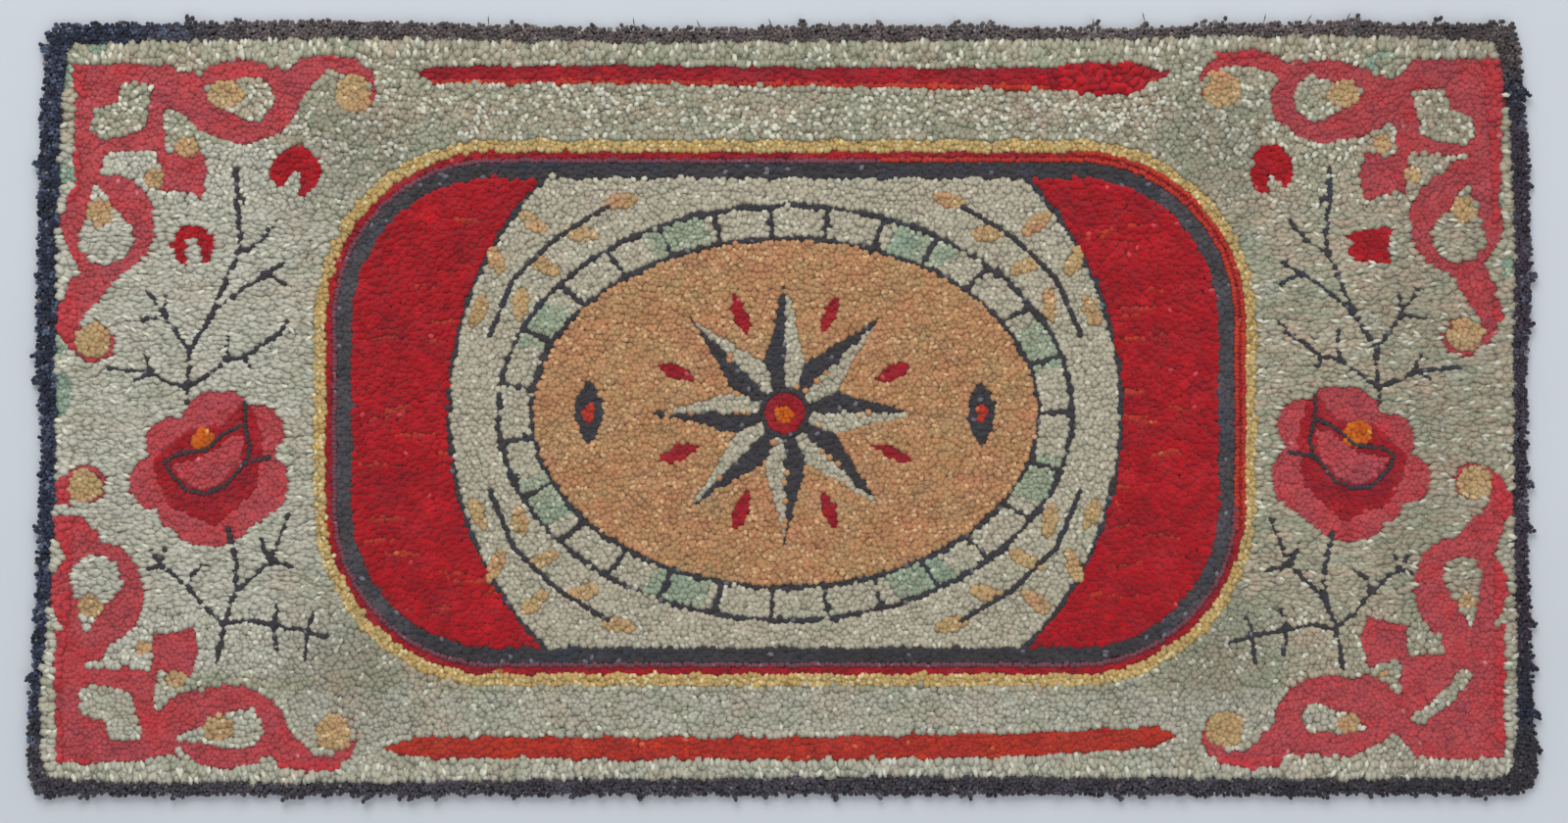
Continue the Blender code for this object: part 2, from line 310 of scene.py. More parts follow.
# Bars along the upper and lower edges, pointed at both ends, and the upper one's later mend.
UPPER_BAR = ((-330, 304), (-312, 303), (-100, 303), (60, 300.5), (270, 299), (336, 302), (353, 305))
LOWER_BAR = ((-356, -307), (-330, -307), (0, -308), (200, -305), (335, -298), (359, -296))
MEND = ((230, 301), (256, 300), (290, 299), (322, 300))
MEND_HALVES = (4.0, 11.5, 15.0, 13.0)
# The mend is bulky: the middle and reach of its lump, and its height.
MEND_LUMP = (277.0, 299.0, 62.0, 20.0, 2.2)
# A part of the ground below it, worked over later in a pinkish yarn.
PATCH = (313.0, 271.0, 42.0, 14.0)

# Where loops of the green yarn were worked into the rim's ground: middle and half sizes.
GREEN_PATCHES = (
    (-647, 301, 7, 13),
    (-619, 326, 10, 6),
    (-647, 215, 6, 13),
    (-652, 58, 7, 11),
    (-650, 14, 8, 20),
    (546, 315, 18, 9),
    (649, 189, 7, 20),
    (657, 128, 6, 12),
)

# The frame: a long box with rounded corners, in bands from outside in, with the panel inside it.
FRAME_MIDDLE = np.array((3.6, -3.6))
FRAME_HALF = (428.0, 248.0)
FRAME_RADIUS = 164.0
FRAME_WIDTH = 35.5
Band = namedtuple("Band", "yarn inward")
BANDS = (Band("yellow", 0.0), Band("crimson", 11.0), Band("charcoal", 20.0))
MAUVE_LINE = 19.6
# Towards the upper right the red band is edged with orange rows: how far in each one lies and how far left it
# starts, and how far down both reach.
ORANGE_LINES = ((12.4, 270.0), (18.6, 90.0))
ORANGE_FOOT = -110.0

# The panel: a fawn medallion with an eight-pointed star, a ring of blocks, leaf sprays and red end caps.
MEDALLION = (230.0, 158.0)
BLOCK_RING = 30.0
BLOCKS = 27
CAP_RADIUS = 305.0
LINE_HALF = 2.4
STAR_POINT = 122.0
STAR_VALLEY = 50.0
SPRAY = ((268, 70), (246, 122), (206, 160), (160, 188))
SPRAY_LEAVES = (
    (278, 92, 115),
    (240, 98, 100),
    (262, 138, 70),
    (218, 133, 25),
    (228, 172, 40),
    (184, 163, 10),
    (150, 192, 165),
)


def star(p, first):
    """Distance to the left (0) or right (1) halves of an eight-pointed star's points."""
    gaps = []
    for number in range(8):
        tip, valley = math.radians(45 * number), math.radians(45 * number + (22.5 if first else -22.5))
        ends = ((math.cos(tip), math.sin(tip), STAR_POINT), (math.cos(valley), math.sin(valley), STAR_VALLEY))
        gaps.append(polygon(p, [(0, 0)] + [(c * far, s * far) for c, s, far in ends]))
    return union(*gaps)


def frame_ring(inward):
    """A closed line that runs round the frame, a distance inside its outer edge."""
    half_x, half_y, radius = FRAME_HALF[0] - inward, FRAME_HALF[1] - inward, FRAME_RADIUS - inward
    line = []
    for quarter, (x, y) in enumerate(((1, 1), (-1, 1), (-1, -1), (1, -1))):
        for turn in np.radians(np.linspace(90 * quarter, 90 * quarter + 90, 28)):
            middle = (x * (half_x - radius), y * (half_y - radius))
            line.append((middle[0] + radius * math.cos(turn), middle[1] + radius * math.sin(turn)))
    return np.array(line + line[:1]) + FRAME_MIDDLE


def frame_parts(inward, reach):
    """The frame's ring in two lines: round its upper right corner, as far left as reach, and the rest."""
    ring, quarter = frame_ring(inward), 28
    foot, head = (ring[0, 0], ORANGE_FOOT), (reach, ring[quarter - 1, 1])
    return np.array([foot, *ring[:quarter], head]), np.array([head, *ring[quarter:-1], foot])


def oval(across, up, start=0.0, end=360.0, count=96):
    """Points round an oval about the panel's middle."""
    turns = np.radians(np.linspace(start, end, count))
    return np.column_stack((across * np.cos(turns), up * np.sin(turns))) + FRAME_MIDDLE


def dividers():
    """The short charcoal rows between the blocks of the medallion's ring, evenly spaced round it."""
    around = oval(*(half + BLOCK_RING / 2 for half in MEDALLION), count=721)
    walked = np.concatenate(([0], np.cumsum(np.hypot(*np.diff(around, axis=0).T))))
    for share in np.arange(BLOCKS) / BLOCKS:
        turn = np.interp(share * walked[-1], walked, np.linspace(0, 2 * math.pi, 721))
        side = np.array((math.cos(turn), math.sin(turn)))
        yield np.array([side * (np.array(MEDALLION) + far) for far in (1.0, BLOCK_RING - 1.0)]) + FRAME_MIDDLE


def mirrored(lines, middle, right):
    """Lines moved to their middle, turned to face the other way on the right half."""
    side = np.array((-1.0, 1.0) if right else (1.0, 1.0))
    return [np.array(line, float) * side + middle for line in lines]


def thin_rows():
    """Every figure that is a single hooked row."""
    for right in (False, True):
        for lines, foot in ((TWIG, TWIG_FEET[right]), (LOW_TWIG, LOW_TWIG_TOPS[right])):
            for number, line in enumerate(mirrored(lines, foot, right)):
                yield Row("charcoal", line, SIDE_TWIG if number else STEM)
        for line in mirrored(ROSE_VEINS, ROSE_MIDDLES[right], right):
            yield Row("charcoal", line, VEIN)
    for x in (-1, 1):
        for y in (-1, 1):
            yield Row("charcoal", np.array(SPRAY, float) * (x, y) + FRAME_MIDDLE, SIDE_TWIG)
    yield Row("charcoal", oval(21, 21, count=24), SIDE_TWIG)
    for inward, reach in ORANGE_LINES:
        yield Row("orange", frame_parts(inward, reach)[0], FINE_LINE)
    yield Row("mauve", frame_parts(MAUVE_LINE, ORANGE_LINES[1][1])[1], FINE_LINE)


def knots():
    """Extra tufts where a sprig thickens."""
    places = []
    for right in (False, True):
        places += mirrored([TWIG_KNOTS], TWIG_FEET[right], right)
        places += mirrored([LOW_TWIG_KNOTS], LOW_TWIG_TOPS[right], right)
    return np.concatenate(places)


def streaks():
    """Short orange strokes scattered over the panel's red end caps."""
    draw = np.random.default_rng(5)
    for _ in range(54):
        x, y = draw.uniform(262, 372) * draw.choice((-1, 1)), draw.uniform(-185, 185)
        run = draw.uniform(9, 24)
        line = ((x - run, y + draw.uniform(-2, 2)), (x, y + draw.uniform(-4, 4)), (x + run, y))
        yield np.array(line) + FRAME_MIDDLE


def panel(p):
    """The framed panel's yarns, in the order in which they overlie one another: (yarn, distance)."""
    q = p - FRAME_MIDDLE
    inside = rounded_box(q, *(half - FRAME_WIDTH for half in FRAME_HALF), FRAME_RADIUS - FRAME_WIDTH)
    ring = ellipse(q, 0, 0, *(half + BLOCK_RING for half in MEDALLION))
    for yarn, inward in BANDS:
        yield yarn, rounded_box(q, *(half - inward for half in FRAME_HALF), FRAME_RADIUS - inward)
    yield "cream", inside
    cap = np.maximum(inside, CAP_RADIUS - np.hypot(q[:, 0], q[:, 1]))
    yield "cherry", cap
    yield "orange", np.maximum(cap + 4, union(*(stroke(p, line, 0.6, 2.2, 0.6) for line in streaks())))
    yield "charcoal", np.maximum(np.abs(np.hypot(q[:, 0], q[:, 1]) - CAP_RADIUS) - LINE_HALF, inside)
    for x in (-1, 1):
        for y in (-1, 1):
            leaves = [ellipse(q, x * u, y * v, 15, 6.5, x * y * turn) for u, v, turn in SPRAY_LEAVES]
            yield "tan", np.maximum(union(*leaves), inside + 2)
    yield "cream", ring
    around = np.degrees(np.arctan2(q[:, 1] / (MEDALLION[1] + 15), q[:, 0] / (MEDALLION[0] + 15))) % 360
    green = np.isin((around / 360 * BLOCKS).astype(int) % 7, (1, 4))
    yield "green", np.where(green, ring, np.inf)
    middle = ellipse(q, 0, 0, *MEDALLION)
    yield "fawn", middle
    between = (stroke(p, line, 0) for line in dividers())
    yield "charcoal", union(np.abs(ring), np.abs(middle), *between) - LINE_HALF
    yield "cream", star(q, 0)
    yield "charcoal", star(q, 1)
    for turn in (22.5, 67.5, 112.5, 157.5, 202.5, 247.5, 292.5, 337.5):
        c, s = math.cos(math.radians(turn)), math.sin(math.radians(turn))
        yield "crimson", almond(q, 96 * c * 1.1, 96 * s, 20, 7, turn)
    for x in (-178, 178):
        yield "charcoal", almond(q, x, 0, 30, 13, 90)
        yield "orange", ellipse(q, x, 0, 5, 9)
    yield "crimson", ellipse(q, 0, 0, 20, 20)
    yield "amber", ellipse(q, 0, 0, 8, 8)


def figures(p):
    """Every yarn of the field over its sage ground, in the order in which they overlie: (yarn, distance)."""
    leaves, openings, buds = (union(*gaps) for gaps in zip(*(scroll(p, corner) for corner in SCROLL_CORNERS)))
    yield "coral", leaves
    yield "sage", openings
    yield "green", np.maximum(union(*(ellipse(p, *patch) for patch in GREEN_PATCHES)), -leaves)
    yield "tan", buds
    bar = stroke(p, UPPER_BAR, 0.5, 8.5, 9, 9.5, 10.5, 7, 1.5)
    yield "crimson", bar
    # Its lowest row is of the orange yarn.
    yield "orange", np.maximum(bar, -stroke(p - (0, 14.0), UPPER_BAR, 19.5))
    yield "cherry", mend_gap(p)
    yield "orange", stroke(p, LOWER_BAR, 2.5, 10, 11, 11.5, 10, 1)
    for right, middle in enumerate(ROSE_MIDDLES):
        q = (p - np.array(middle)) * ((-1, 1) if right else (1, 1))
        petals = union(*(ellipse(q, *petal) for petal in ROSE_PETALS))
        yield "coral", petals
        yield "crimson", np.maximum(polygon(q, ROSE_HEART) - 3, petals + 3)
        yield "coral", polygon(q, ROSE_PETAL) - 1
        yield "amber", ellipse(q, -5, 26, 11 + right * 2, 10 + right * 2, 20)
    for shoe in HORSESHOES:
        slit = stroke(p, shoe.slit, *shoe.opens)
        yield "cherry", np.maximum(ellipse(p, shoe.x, shoe.y, shoe.across, shoe.up), -slit)
    yield "cherry", polygon(p, SOLID_BLOCK) - 2
    yield from panel(p)
    yield "rows", rows_gap(p)


def mend_gap(p):
    """Distance to the upper bar's mend."""
    return stroke(p, MEND, *MEND_HALVES)


def rows_gap(p):
    """Distance to the nearest single row or knot."""
    knobs = (np.hypot(p[:, 0] - x, p[:, 1] - y) - KNOT_HALF for x, y in knots())
    return union(*(stroke(p, row.line, row.half) for row in thin_rows()), *knobs)


def wander(p):
    """How far a hand-hooked outline strays from its drawn line at each place."""
    x, y = p[:, 0] / 3.1, p[:, 1] / 3.1
    long = np.sin(0.36 * x + 1.9 * np.sin(0.23 * y)) * np.cos(0.31 * y + 0.8)
    short = np.sin(x + 1.3 * np.cos(0.8 * y)) * np.cos(0.9 * y - 0.5 * x)
    return 0.9 * long + 0.5 * short


def pattern(p):
    """The yarn at each place, and how far off the nearest change of yarn is."""
    yarn = np.full(len(p), "sage", dtype="<U8")
    room = np.full(len(p), 999.0)
    stray = wander(p)
    for name, gap in figures(p):
        gap = gap + (0 if name == "rows" else stray)
        inside, same = gap < 0, yarn == name
        room = np.where(same, room, np.where(inside, -gap, np.minimum(room, np.abs(gap))))
        yarn[inside] = name
    return yarn, room


def yarns_clear(p, keep_off):
    """Places moved off a change of yarn till they are keep_off from it, with their yarns and room."""
    yarn, room = pattern(p)
    near = np.flatnonzero(room < keep_off)
    step = 0.25
    slope = [pattern(p[near] + step * np.eye(2)[axis])[1] - room[near] for axis in (0, 1)]
    slope = np.clip(np.column_stack(slope) / step, -1, 1)
    moved = p.copy()
    moved[near] += slope * (keep_off - room[near])[:, None]
    return moved, yarn, room


# The frame's own outlines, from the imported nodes.


def node_points(name):
    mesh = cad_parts[name].data
    points = np.empty(len(mesh.vertices) * 3)
    mesh.vertices.foreach_get("co", points)
    return points.reshape(-1, 3) * 1000


def outline(points, z):
    """The closed line of the points at a height, in order round the middle."""
    ring = np.unique(np.round(points[np.abs(points[:, 2] - z) < 0.05][:, :2], 2), axis=0)
    return ring[np.argsort(np.arctan2(ring[:, 1] * 1.9, ring[:, 0]))]


def rug_outlines():
    """The field's outline, the rug's outer line and the cloth's outline, in millimetres."""
    field_points, border = node_points("field_pile"), node_points("border_pile")
    field = outline(field_points, field_points[:, 2].min())
    foot = np.unique(np.round(border[np.abs(border[:, 2] - field_points[:, 2].min()) < 0.05], 2), axis=0)
    outer = foot[polygon(foot[:, :2], field) > 6.0]
    cloth_points = node_points("foundation_cloth")
    return field, outline(outer, foot[0, 2]), outline(cloth_points, cloth_points[:, 2].max())


FIELD_LINE, RUG_LINE, CLOTH_LINE = rug_outlines()
# The field's last row of loops leans out over the border by some 2.5 mm all round.
FIELD_LINE = FIELD_LINE * (1.0035, 1.008)


def lumps(p, span, seed):
    """Soft unevenness from -1 to 1 at each place, with lumps about span across."""
    return np.array([noise.noise(Vector((x / span, y / span, seed)), noise_basis="PERLIN_NEW") for x, y in p])


def scatter(low, high, pitch, jitter, seed):
    """Places over a box in staggered rows, each a little off its own."""
    draw = np.random.default_rng(seed)
    across, up = np.arange(low[0], high[0], pitch), np.arange(low[1], high[1], pitch * 0.866)
    x, y = np.meshgrid(across, up)
    x[1::2] += pitch / 2
    places = np.column_stack((x.ravel(), y.ravel()))
    return places + draw.normal(0, jitter, places.shape).clip(-2 * jitter, 2 * jitter)


def paced(line, pitch):
    """Places at an even pitch along a line."""
    walked = np.concatenate(([0], np.cumsum(np.hypot(*np.diff(line, axis=0).T))))
    count = max(int(round(walked[-1] / pitch)), 1)
    marks = (np.arange(count) + 0.5) * walked[-1] / count
    return np.column_stack([np.interp(marks, walked, line[:, axis]) for axis in (0, 1)])


# Making meshes.


def nothing_selected():
    if bpy.context.object and bpy.context.object.mode != "OBJECT":
        bpy.ops.object.mode_set(mode="OBJECT")
    bpy.ops.object.select_all(action="DESELECT")


def select_verts(made, test):
    """In edit mode, selects the vertices whose place passes a test, and no others."""
    bpy.ops.mesh.select_mode(type="VERT")
    bpy.ops.mesh.select_all(action="DESELECT")
    bpy.ops.object.mode_set(mode="OBJECT")
    for vert in made.data.vertices:
        vert.select = test(vert.co)
    bpy.ops.object.mode_set(mode="EDIT")


def model_tuft(sides, waist):
    """A tuft, modelled once: a closed bud one unit high, widest at its waist. Its vertices and faces."""
    nothing_selected()
    depth = 1.0 - waist
    bpy.ops.mesh.primitive_cone_add(vertices=sides, radius1=1.0, depth=depth, end_fill_type="TRIFAN")
    bud = bpy.context.object
    bpy.ops.object.mode_set(mode="EDIT")
    bpy.ops.mesh.select_all(action="SELECT")
    bpy.ops.transform.translate(value=(0.0, 0.0, waist + depth / 2))
    select_verts(bud, lambda place: place.z < waist + 0.01 and place.xy.length < 0.1)
    bpy.ops.transform.translate(value=(0.0, 0.0, -waist))
    bpy.ops.object.mode_set(mode="OBJECT")
    verts = np.array([vert.co for vert in bud.data.vertices])
    faces = np.array([face.vertices for face in bud.data.polygons])
    bpy.data.objects.remove(bud, do_unlink=True)
    return verts, faces


Tufts = namedtuple("Tufts", "places tops feet widths turns leans dyes")
# What each column of a tuft's dyes says, as the wool's material reads it; shade and fade also carry
# painted shade, painted light and painted highlights.
DYES_AND_LIGHT = ("shade", "warmth", "fade", "pale")


def joined_tufts(name, form, tufts, material):
    """One closed mesh of many tufts, each at its place, turned, leaned and drawn up to its own top."""
    verts, faces = form
    count, rise = len(tufts.places), verts[:, 2]
    cos, sin = np.cos(tufts.turns)[:, None], np.sin(tufts.turns)[:, None]
    u, v = verts[:, 0] * tufts.widths[:, :1], verts[:, 1] * tufts.widths[:, 1:]
    points = np.empty((count, len(verts), 3))
    points[..., 0] = tufts.places[:, :1] + u * cos - v * sin + tufts.leans[:, :1] * rise**1.5
    points[..., 1] = tufts.places[:, 1:] + u * sin + v * cos + tufts.leans[:, 1:] * rise**1.5
    points[..., 2] = tufts.feet[:, None] + (tufts.tops - tufts.feet)[:, None] * rise
    loops = (faces[None] + np.arange(count)[:, None, None] * len(verts)).reshape(-1, 3)
    mesh = bpy.data.meshes.new(name)
    mesh.vertices.add(count * len(verts))
    mesh.vertices.foreach_set("co", points.ravel() * MM)
    mesh.loops.add(loops.size)
    mesh.loops.foreach_set("vertex_index", loops.ravel())
    mesh.polygons.add(len(loops))
    mesh.polygons.foreach_set("loop_start", np.arange(0, loops.size, 3))
    mesh.update(calc_edges=True)
    mesh.shade_smooth()
    for dye_and_light, values in zip(DYES_AND_LIGHT, tufts.dyes.T):
        mesh.attributes.new(dye_and_light, "FLOAT", "POINT").data.foreach_set("value", np.repeat(values, len(verts)))
    mesh.attributes.new("rise", "FLOAT", "POINT").data.foreach_set("value", np.tile(rise, count))
    flat_map(mesh, points.reshape(-1, 3)[:, :2], loops, np.tile(rise, count))
    mesh.materials.append(material)
    made = bpy.data.objects.new(name, mesh)
    bpy.context.collection.objects.link(made)
    return made


def flat_map(mesh, flat, loops, rise):
    """A map that looks straight down, for the export; the hidden lower faces are folded away in it."""
    low, span = flat.min(axis=0), np.ptp(flat, axis=0)
    places = (flat - low) / span
    corners = places[loops]
    root = rise[loops] < 1e-6
    for corner in range(3):
        others = (corners[:, corner - 1] + corners[:, corner - 2]) / 2
        corners[:, corner] = np.where(root[:, corner : corner + 1], others, corners[:, corner])
    mesh.uv_layers.new(name="OFBake").data.foreach_set("uv", corners.ravel())


# Materials.


def add_node(tree, kind, inputs=None, **settings):
    """Adds a node with its settings, and with its inputs set to a value or linked from an output."""
    made = tree.nodes.new(kind)
    for setting, value in settings.items():
        setattr(made, setting, value)
    for socket, value in (inputs or {}).items():
        if isinstance(value, bpy.types.NodeSocket):
            tree.links.new(value, made.inputs[socket])
        else:
            made.inputs[socket].default_value = value
    return made


def opaque(colour):
    return (*colour, 1.0)


def toned(colour, factor):
    """A lighter or darker tone of a colour."""
    return tuple(min(1.0, part * factor) for part in colour)


# The colours a wool mixes: its own dye, warmer and cooler dye lots, a faded lot that is also painted light on
# the sage ground's left and the painted highlight of the border's clumps, and a pale colour for its tips,
# partly painted highlights.
LotsAndLight = namedtuple("LotsAndLight", "own warmer cooler faded pale")


def dyed_wool_and_painted_shade(name, lots_and_light, root=0.9, tones=(0.79, 1.19), fibre_bump=0.5):
    """Clipped wool yarn: each tuft its own tone of the dye, with soft patches of warmer, cooler and faded dye
    lots, where the faded lot is painted light on the sage ground's left and a painted highlight on the
    border, some pale tips that are partly painted highlights, and painted shade that darkens each tuft
    towards its root.

    Wool scatters light and has no gloss: the eye sees a matt surface with a faint sheen and fine fibres.
    """
    material = bpy.data.materials.new(name)
    material.use_nodes = True
    tree = material.node_tree
    shader = tree.nodes["Principled BSDF"]
    shader.inputs["Roughness"].default_value = 0.95
    shader.inputs["Specular IOR Level"].default_value = 0.15
    shader.inputs["Sheen Weight"].default_value = 0.1
    shader.inputs["Sheen Roughness"].default_value = 0.6
    place = add_node(tree, "ShaderNodeTexCoord").outputs["Object"]
    read = {}
    for each in (*DYES_AND_LIGHT, "rise"):
        read[each] = add_node(tree, "ShaderNodeAttribute", attribute_name=each).outputs["Fac"]
    read["cold"] = add_node(
        tree, "ShaderNodeMath", {0: read["warmth"], 1: -1.0}, operation="MULTIPLY"
    ).outputs[0]
    dye_and_light = opaque(lots_and_light.own)
    for share, colour in zip(("warmth", "cold", "fade", "pale"), lots_and_light[1:]):
        mixed = {0: read[share], 6: dye_and_light, 7: opaque(colour)}
        dye_and_light = add_node(tree, "ShaderNodeMix", mixed, data_type="RGBA").outputs[2]
    # Fibres are some 0.03 mm; at 0.9 mm the noise reads as a cut bundle of them.
    fibres = add_node(
        tree, "ShaderNodeTexNoise", {"Vector": place, "Scale": 1100.0, "Detail": 3.0}
    ).outputs["Fac"]
    # Painted shade: each tuft darkens from its waist down to its root, where the pile is shaded deep between
    # tufts.
    depth = add_node(
        tree,
        "ShaderNodeMapRange",
        {"Value": read["rise"], "From Min": 0.5, "From Max": 1.0, "To Min": root, "To Max": 1.04},
    ).outputs["Result"]
    grain = add_node(
        tree,
        "ShaderNodeMapRange",
        {"Value": fibres, "From Min": 0.3, "From Max": 0.7, "To Min": 0.88, "To Max": 1.08},
    ).outputs["Result"]
    tone = add_node(
        tree, "ShaderNodeMapRange", {"Value": read["shade"], "To Min": tones[0], "To Max": tones[1]}
    ).outputs["Result"]
    tone = add_node(tree, "ShaderNodeMath", {0: tone, 1: depth}, operation="MULTIPLY").outputs[0]
    darkened = add_node(tree, "ShaderNodeMath", {0: tone, 1: grain}, operation="MULTIPLY").outputs[0]
    final = add_node(tree, "ShaderNodeVectorMath", {0: dye_and_light, "Scale": darkened}, operation="SCALE").outputs[0]
    bump = add_node(
        tree, "ShaderNodeBump", {"Height": fibres, "Strength": fibre_bump, "Distance": 0.0005}
    ).outputs["Normal"]
    tree.links.new(final, shader.inputs["Base Color"])
    tree.links.new(bump, shader.inputs["Normal"])
    return material


# How each yarn is hooked: on the wide grounds or in a figure, its tufts' rise over the field and unevenness
# in mm, its share of pale tips, which are partly pale yarn and partly painted highlights on the cut ends,
# and the warmer, cooler and faded dye lots and the pale colour that it varies between; the sage's faded
# colour is also painted light on the ground's left side.
Hooking = namedtuple("Hooking", "ground rise uneven pale_share warmer cooler faded pale")
HOOKINGS = {
    "sage": Hooking(True, 0.3, 0.36, 0.13, "#b7a28b", "#949d84", "#bab7a8", "#cfccb9"),
    "cream": Hooking(True, -0.2, 0.22, 0.08, "#b4a691", "#a7a48c", "#bdb8a6", "#cbc5b0"),
    "green": Hooking(False, -0.2, 0.22, 0.10, "#a9a88f", "#88a08c", "#a5ac98", "#b6bda6"),
    "coral": Hooking(False, -0.7, 0.14, 0.003, "#c4323a", "#a2434e", "#be5b60", "#d07478"),
    "crimson": Hooking(False, -0.7, 0.16, 0.003, "#b51d24", "#87182a", "#a83a40", "#c4484c"),
    "cherry": Hooking(False, -0.1, 0.20, 0.004, "#c01722", "#8d1020", "#b02a34", "#d0424a"),
    "orange": Hooking(False, -0.4, 0.18, 0.01, "#c8401f", "#a32a26", "#b8493c", "#d4603f"),
    "amber": Hooking(False, -0.3, 0.15, 0.03, "#b9570d", "#d67c1a", "#c87830", "#e09a48"),
    "tan": Hooking(False, 0.1, 0.24, 0.06, "#c48a66", "#b09a68", "#c9b08c", "#d6b78c"),
    "fawn": Hooking(False, 0.1, 0.26, 0.09, "#bd7d5c", "#ab9064", "#bf9a78", "#d0a67a"),
    "yellow": Hooking(False, -0.1, 0.25, 0.14, "#bb9450", "#baa06e", "#cab37e", "#d8c28c"),
    "charcoal": Hooking(False, -0.5, 0.24, 0.02, "#3f3839", "#3b4150", "#5b575c", "#74727a"),
    "mauve": Hooking(False, -0.6, 0.15, 0.03, "#75424d", "#624552", "#75505c", "#8c6470"),
}
# The yarn seen between tufts is darkened to a share of its tone as painted shade, in the field, and in the
# border to a share of charcoal's; and a tuft's half width as a share of the pitch, on the grounds and in the
# figures.
FIELD_SEAM_SHADE, BORDER_SEAM_SHADE = 0.86, 0.5
GROUND_FILL, FIGURE_FILL = 0.86, 0.9


def field_tops(p):
    """The pile's height at each place: the CAD field's own lumps and its mend."""
    coarse = lumps(p, 55.0, 3.0) + 0.5 * lumps(p, 27.5, 8.0)
    x, y, across, up, height = MEND_LUMP
    mend = height * np.exp(-(((p[:, 0] - x) / across) ** 2) - ((p[:, 1] - y) / up) ** 2)
    return bpy.context.scene.rug_sizes.pile_top * 1000 + 1.1 * coarse + mend


def swayed(p):
    """Places of straight rows moved to rows that sway as hand-hooked ones do."""
    x, y = p[:, 0], p[:, 1]
    aside = 2.0 * np.sin(y / 19.0 + 1.4 * np.sin(x / 61.0))
    up = 2.6 * np.sin(x / 27.0 + 1.7 * np.sin(y / 47.0)) + 1.2 * np.sin(x / 9.0 + y / 31.0)
    return p + np.column_stack((aside, up))


Layout = namedtuple("Layout", "places yarns room pitch lift")


def grid_tufts(ground):
    """The tufts of the grounds or of the figures, in a staggered grid whose rows sway."""
    sizes = bpy.context.scene.rug_sizes
    pitch = (sizes.ground_pitch if ground else sizes.figure_pitch) * 1000
    low, high = FIELD_LINE.min(axis=0) - 5, FIELD_LINE.max(axis=0) + 5
    places = swayed(scatter(low, high, pitch, 0.17 * pitch, 21 if ground else 22))
    places = places[polygon(places, FIELD_LINE) < -1.0]
    places, yarn, room = yarns_clear(places, 0.42 * pitch)
    wanted = [name for name, hooking in HOOKINGS.items() if hooking.ground == ground]
    keep = np.isin(yarn, wanted)
    count = keep.sum()
    return Layout(places[keep], yarn[keep], room[keep], np.full(count, pitch), np.zeros(count))


def row_tufts():
    """The tufts of the single rows: sprigs, veins and fine lines, a little over the figures."""
    pitch = bpy.context.scene.rug_sizes.row_pitch * 1000
    draw = np.random.default_rng(31)
    places, yarns, halves = [], [], []
    for row in thin_rows():
        at = paced(np.asarray(row.line), pitch)
        places.append(at + draw.normal(0, 0.35, at.shape).clip(-0.7, 0.7))
        yarns += [row.yarn] * len(at)
        halves += [row.half] * len(at)
    knobs = knots()
    for shift in ((1.8, 1.0), (-1.7, 1.1), (0.1, -2.0)):
        places.append(knobs + shift)
        yarns += ["charcoal"] * len(knobs)
        halves += [STEM] * len(knobs)
    places, yarns, halves = np.concatenate(places), np.array(yarns), np.array(halves)
    inside = polygon(places, FIELD_LINE) < -1.0
    pitches = 1.3 + 1.25 * halves[inside]
    return Layout(places[inside], yarns[inside], halves[inside], pitches, np.full(inside.sum(), 0.8))


def field_layout():
    """Every tuft of the field: its place, yarn, room round it, pitch and lift."""
    parts = (grid_tufts(True), grid_tufts(False), row_tufts())
    return Layout(*(np.concatenate(columns) for columns in zip(*parts)))


def zone_of(yarn, places):
    """The piece that a tuft belongs to: the wide grounds are split so that no mesh is too large."""
    ends = np.abs(places[:, 0]) > 420
    if yarn == "sage":
        return np.where(ends, "sage_ends", "sage_bands")
    return np.full(len(places), yarn)


def way_out(p):
    """The angle at which the nearest rim of the field is crossed outwards."""
    here = polygon(p, FIELD_LINE)
    across, up = (polygon(p + side, FIELD_LINE) - here for side in ((0.5, 0.0), (0.0, 0.5)))
    return np.arctan2(up, across)


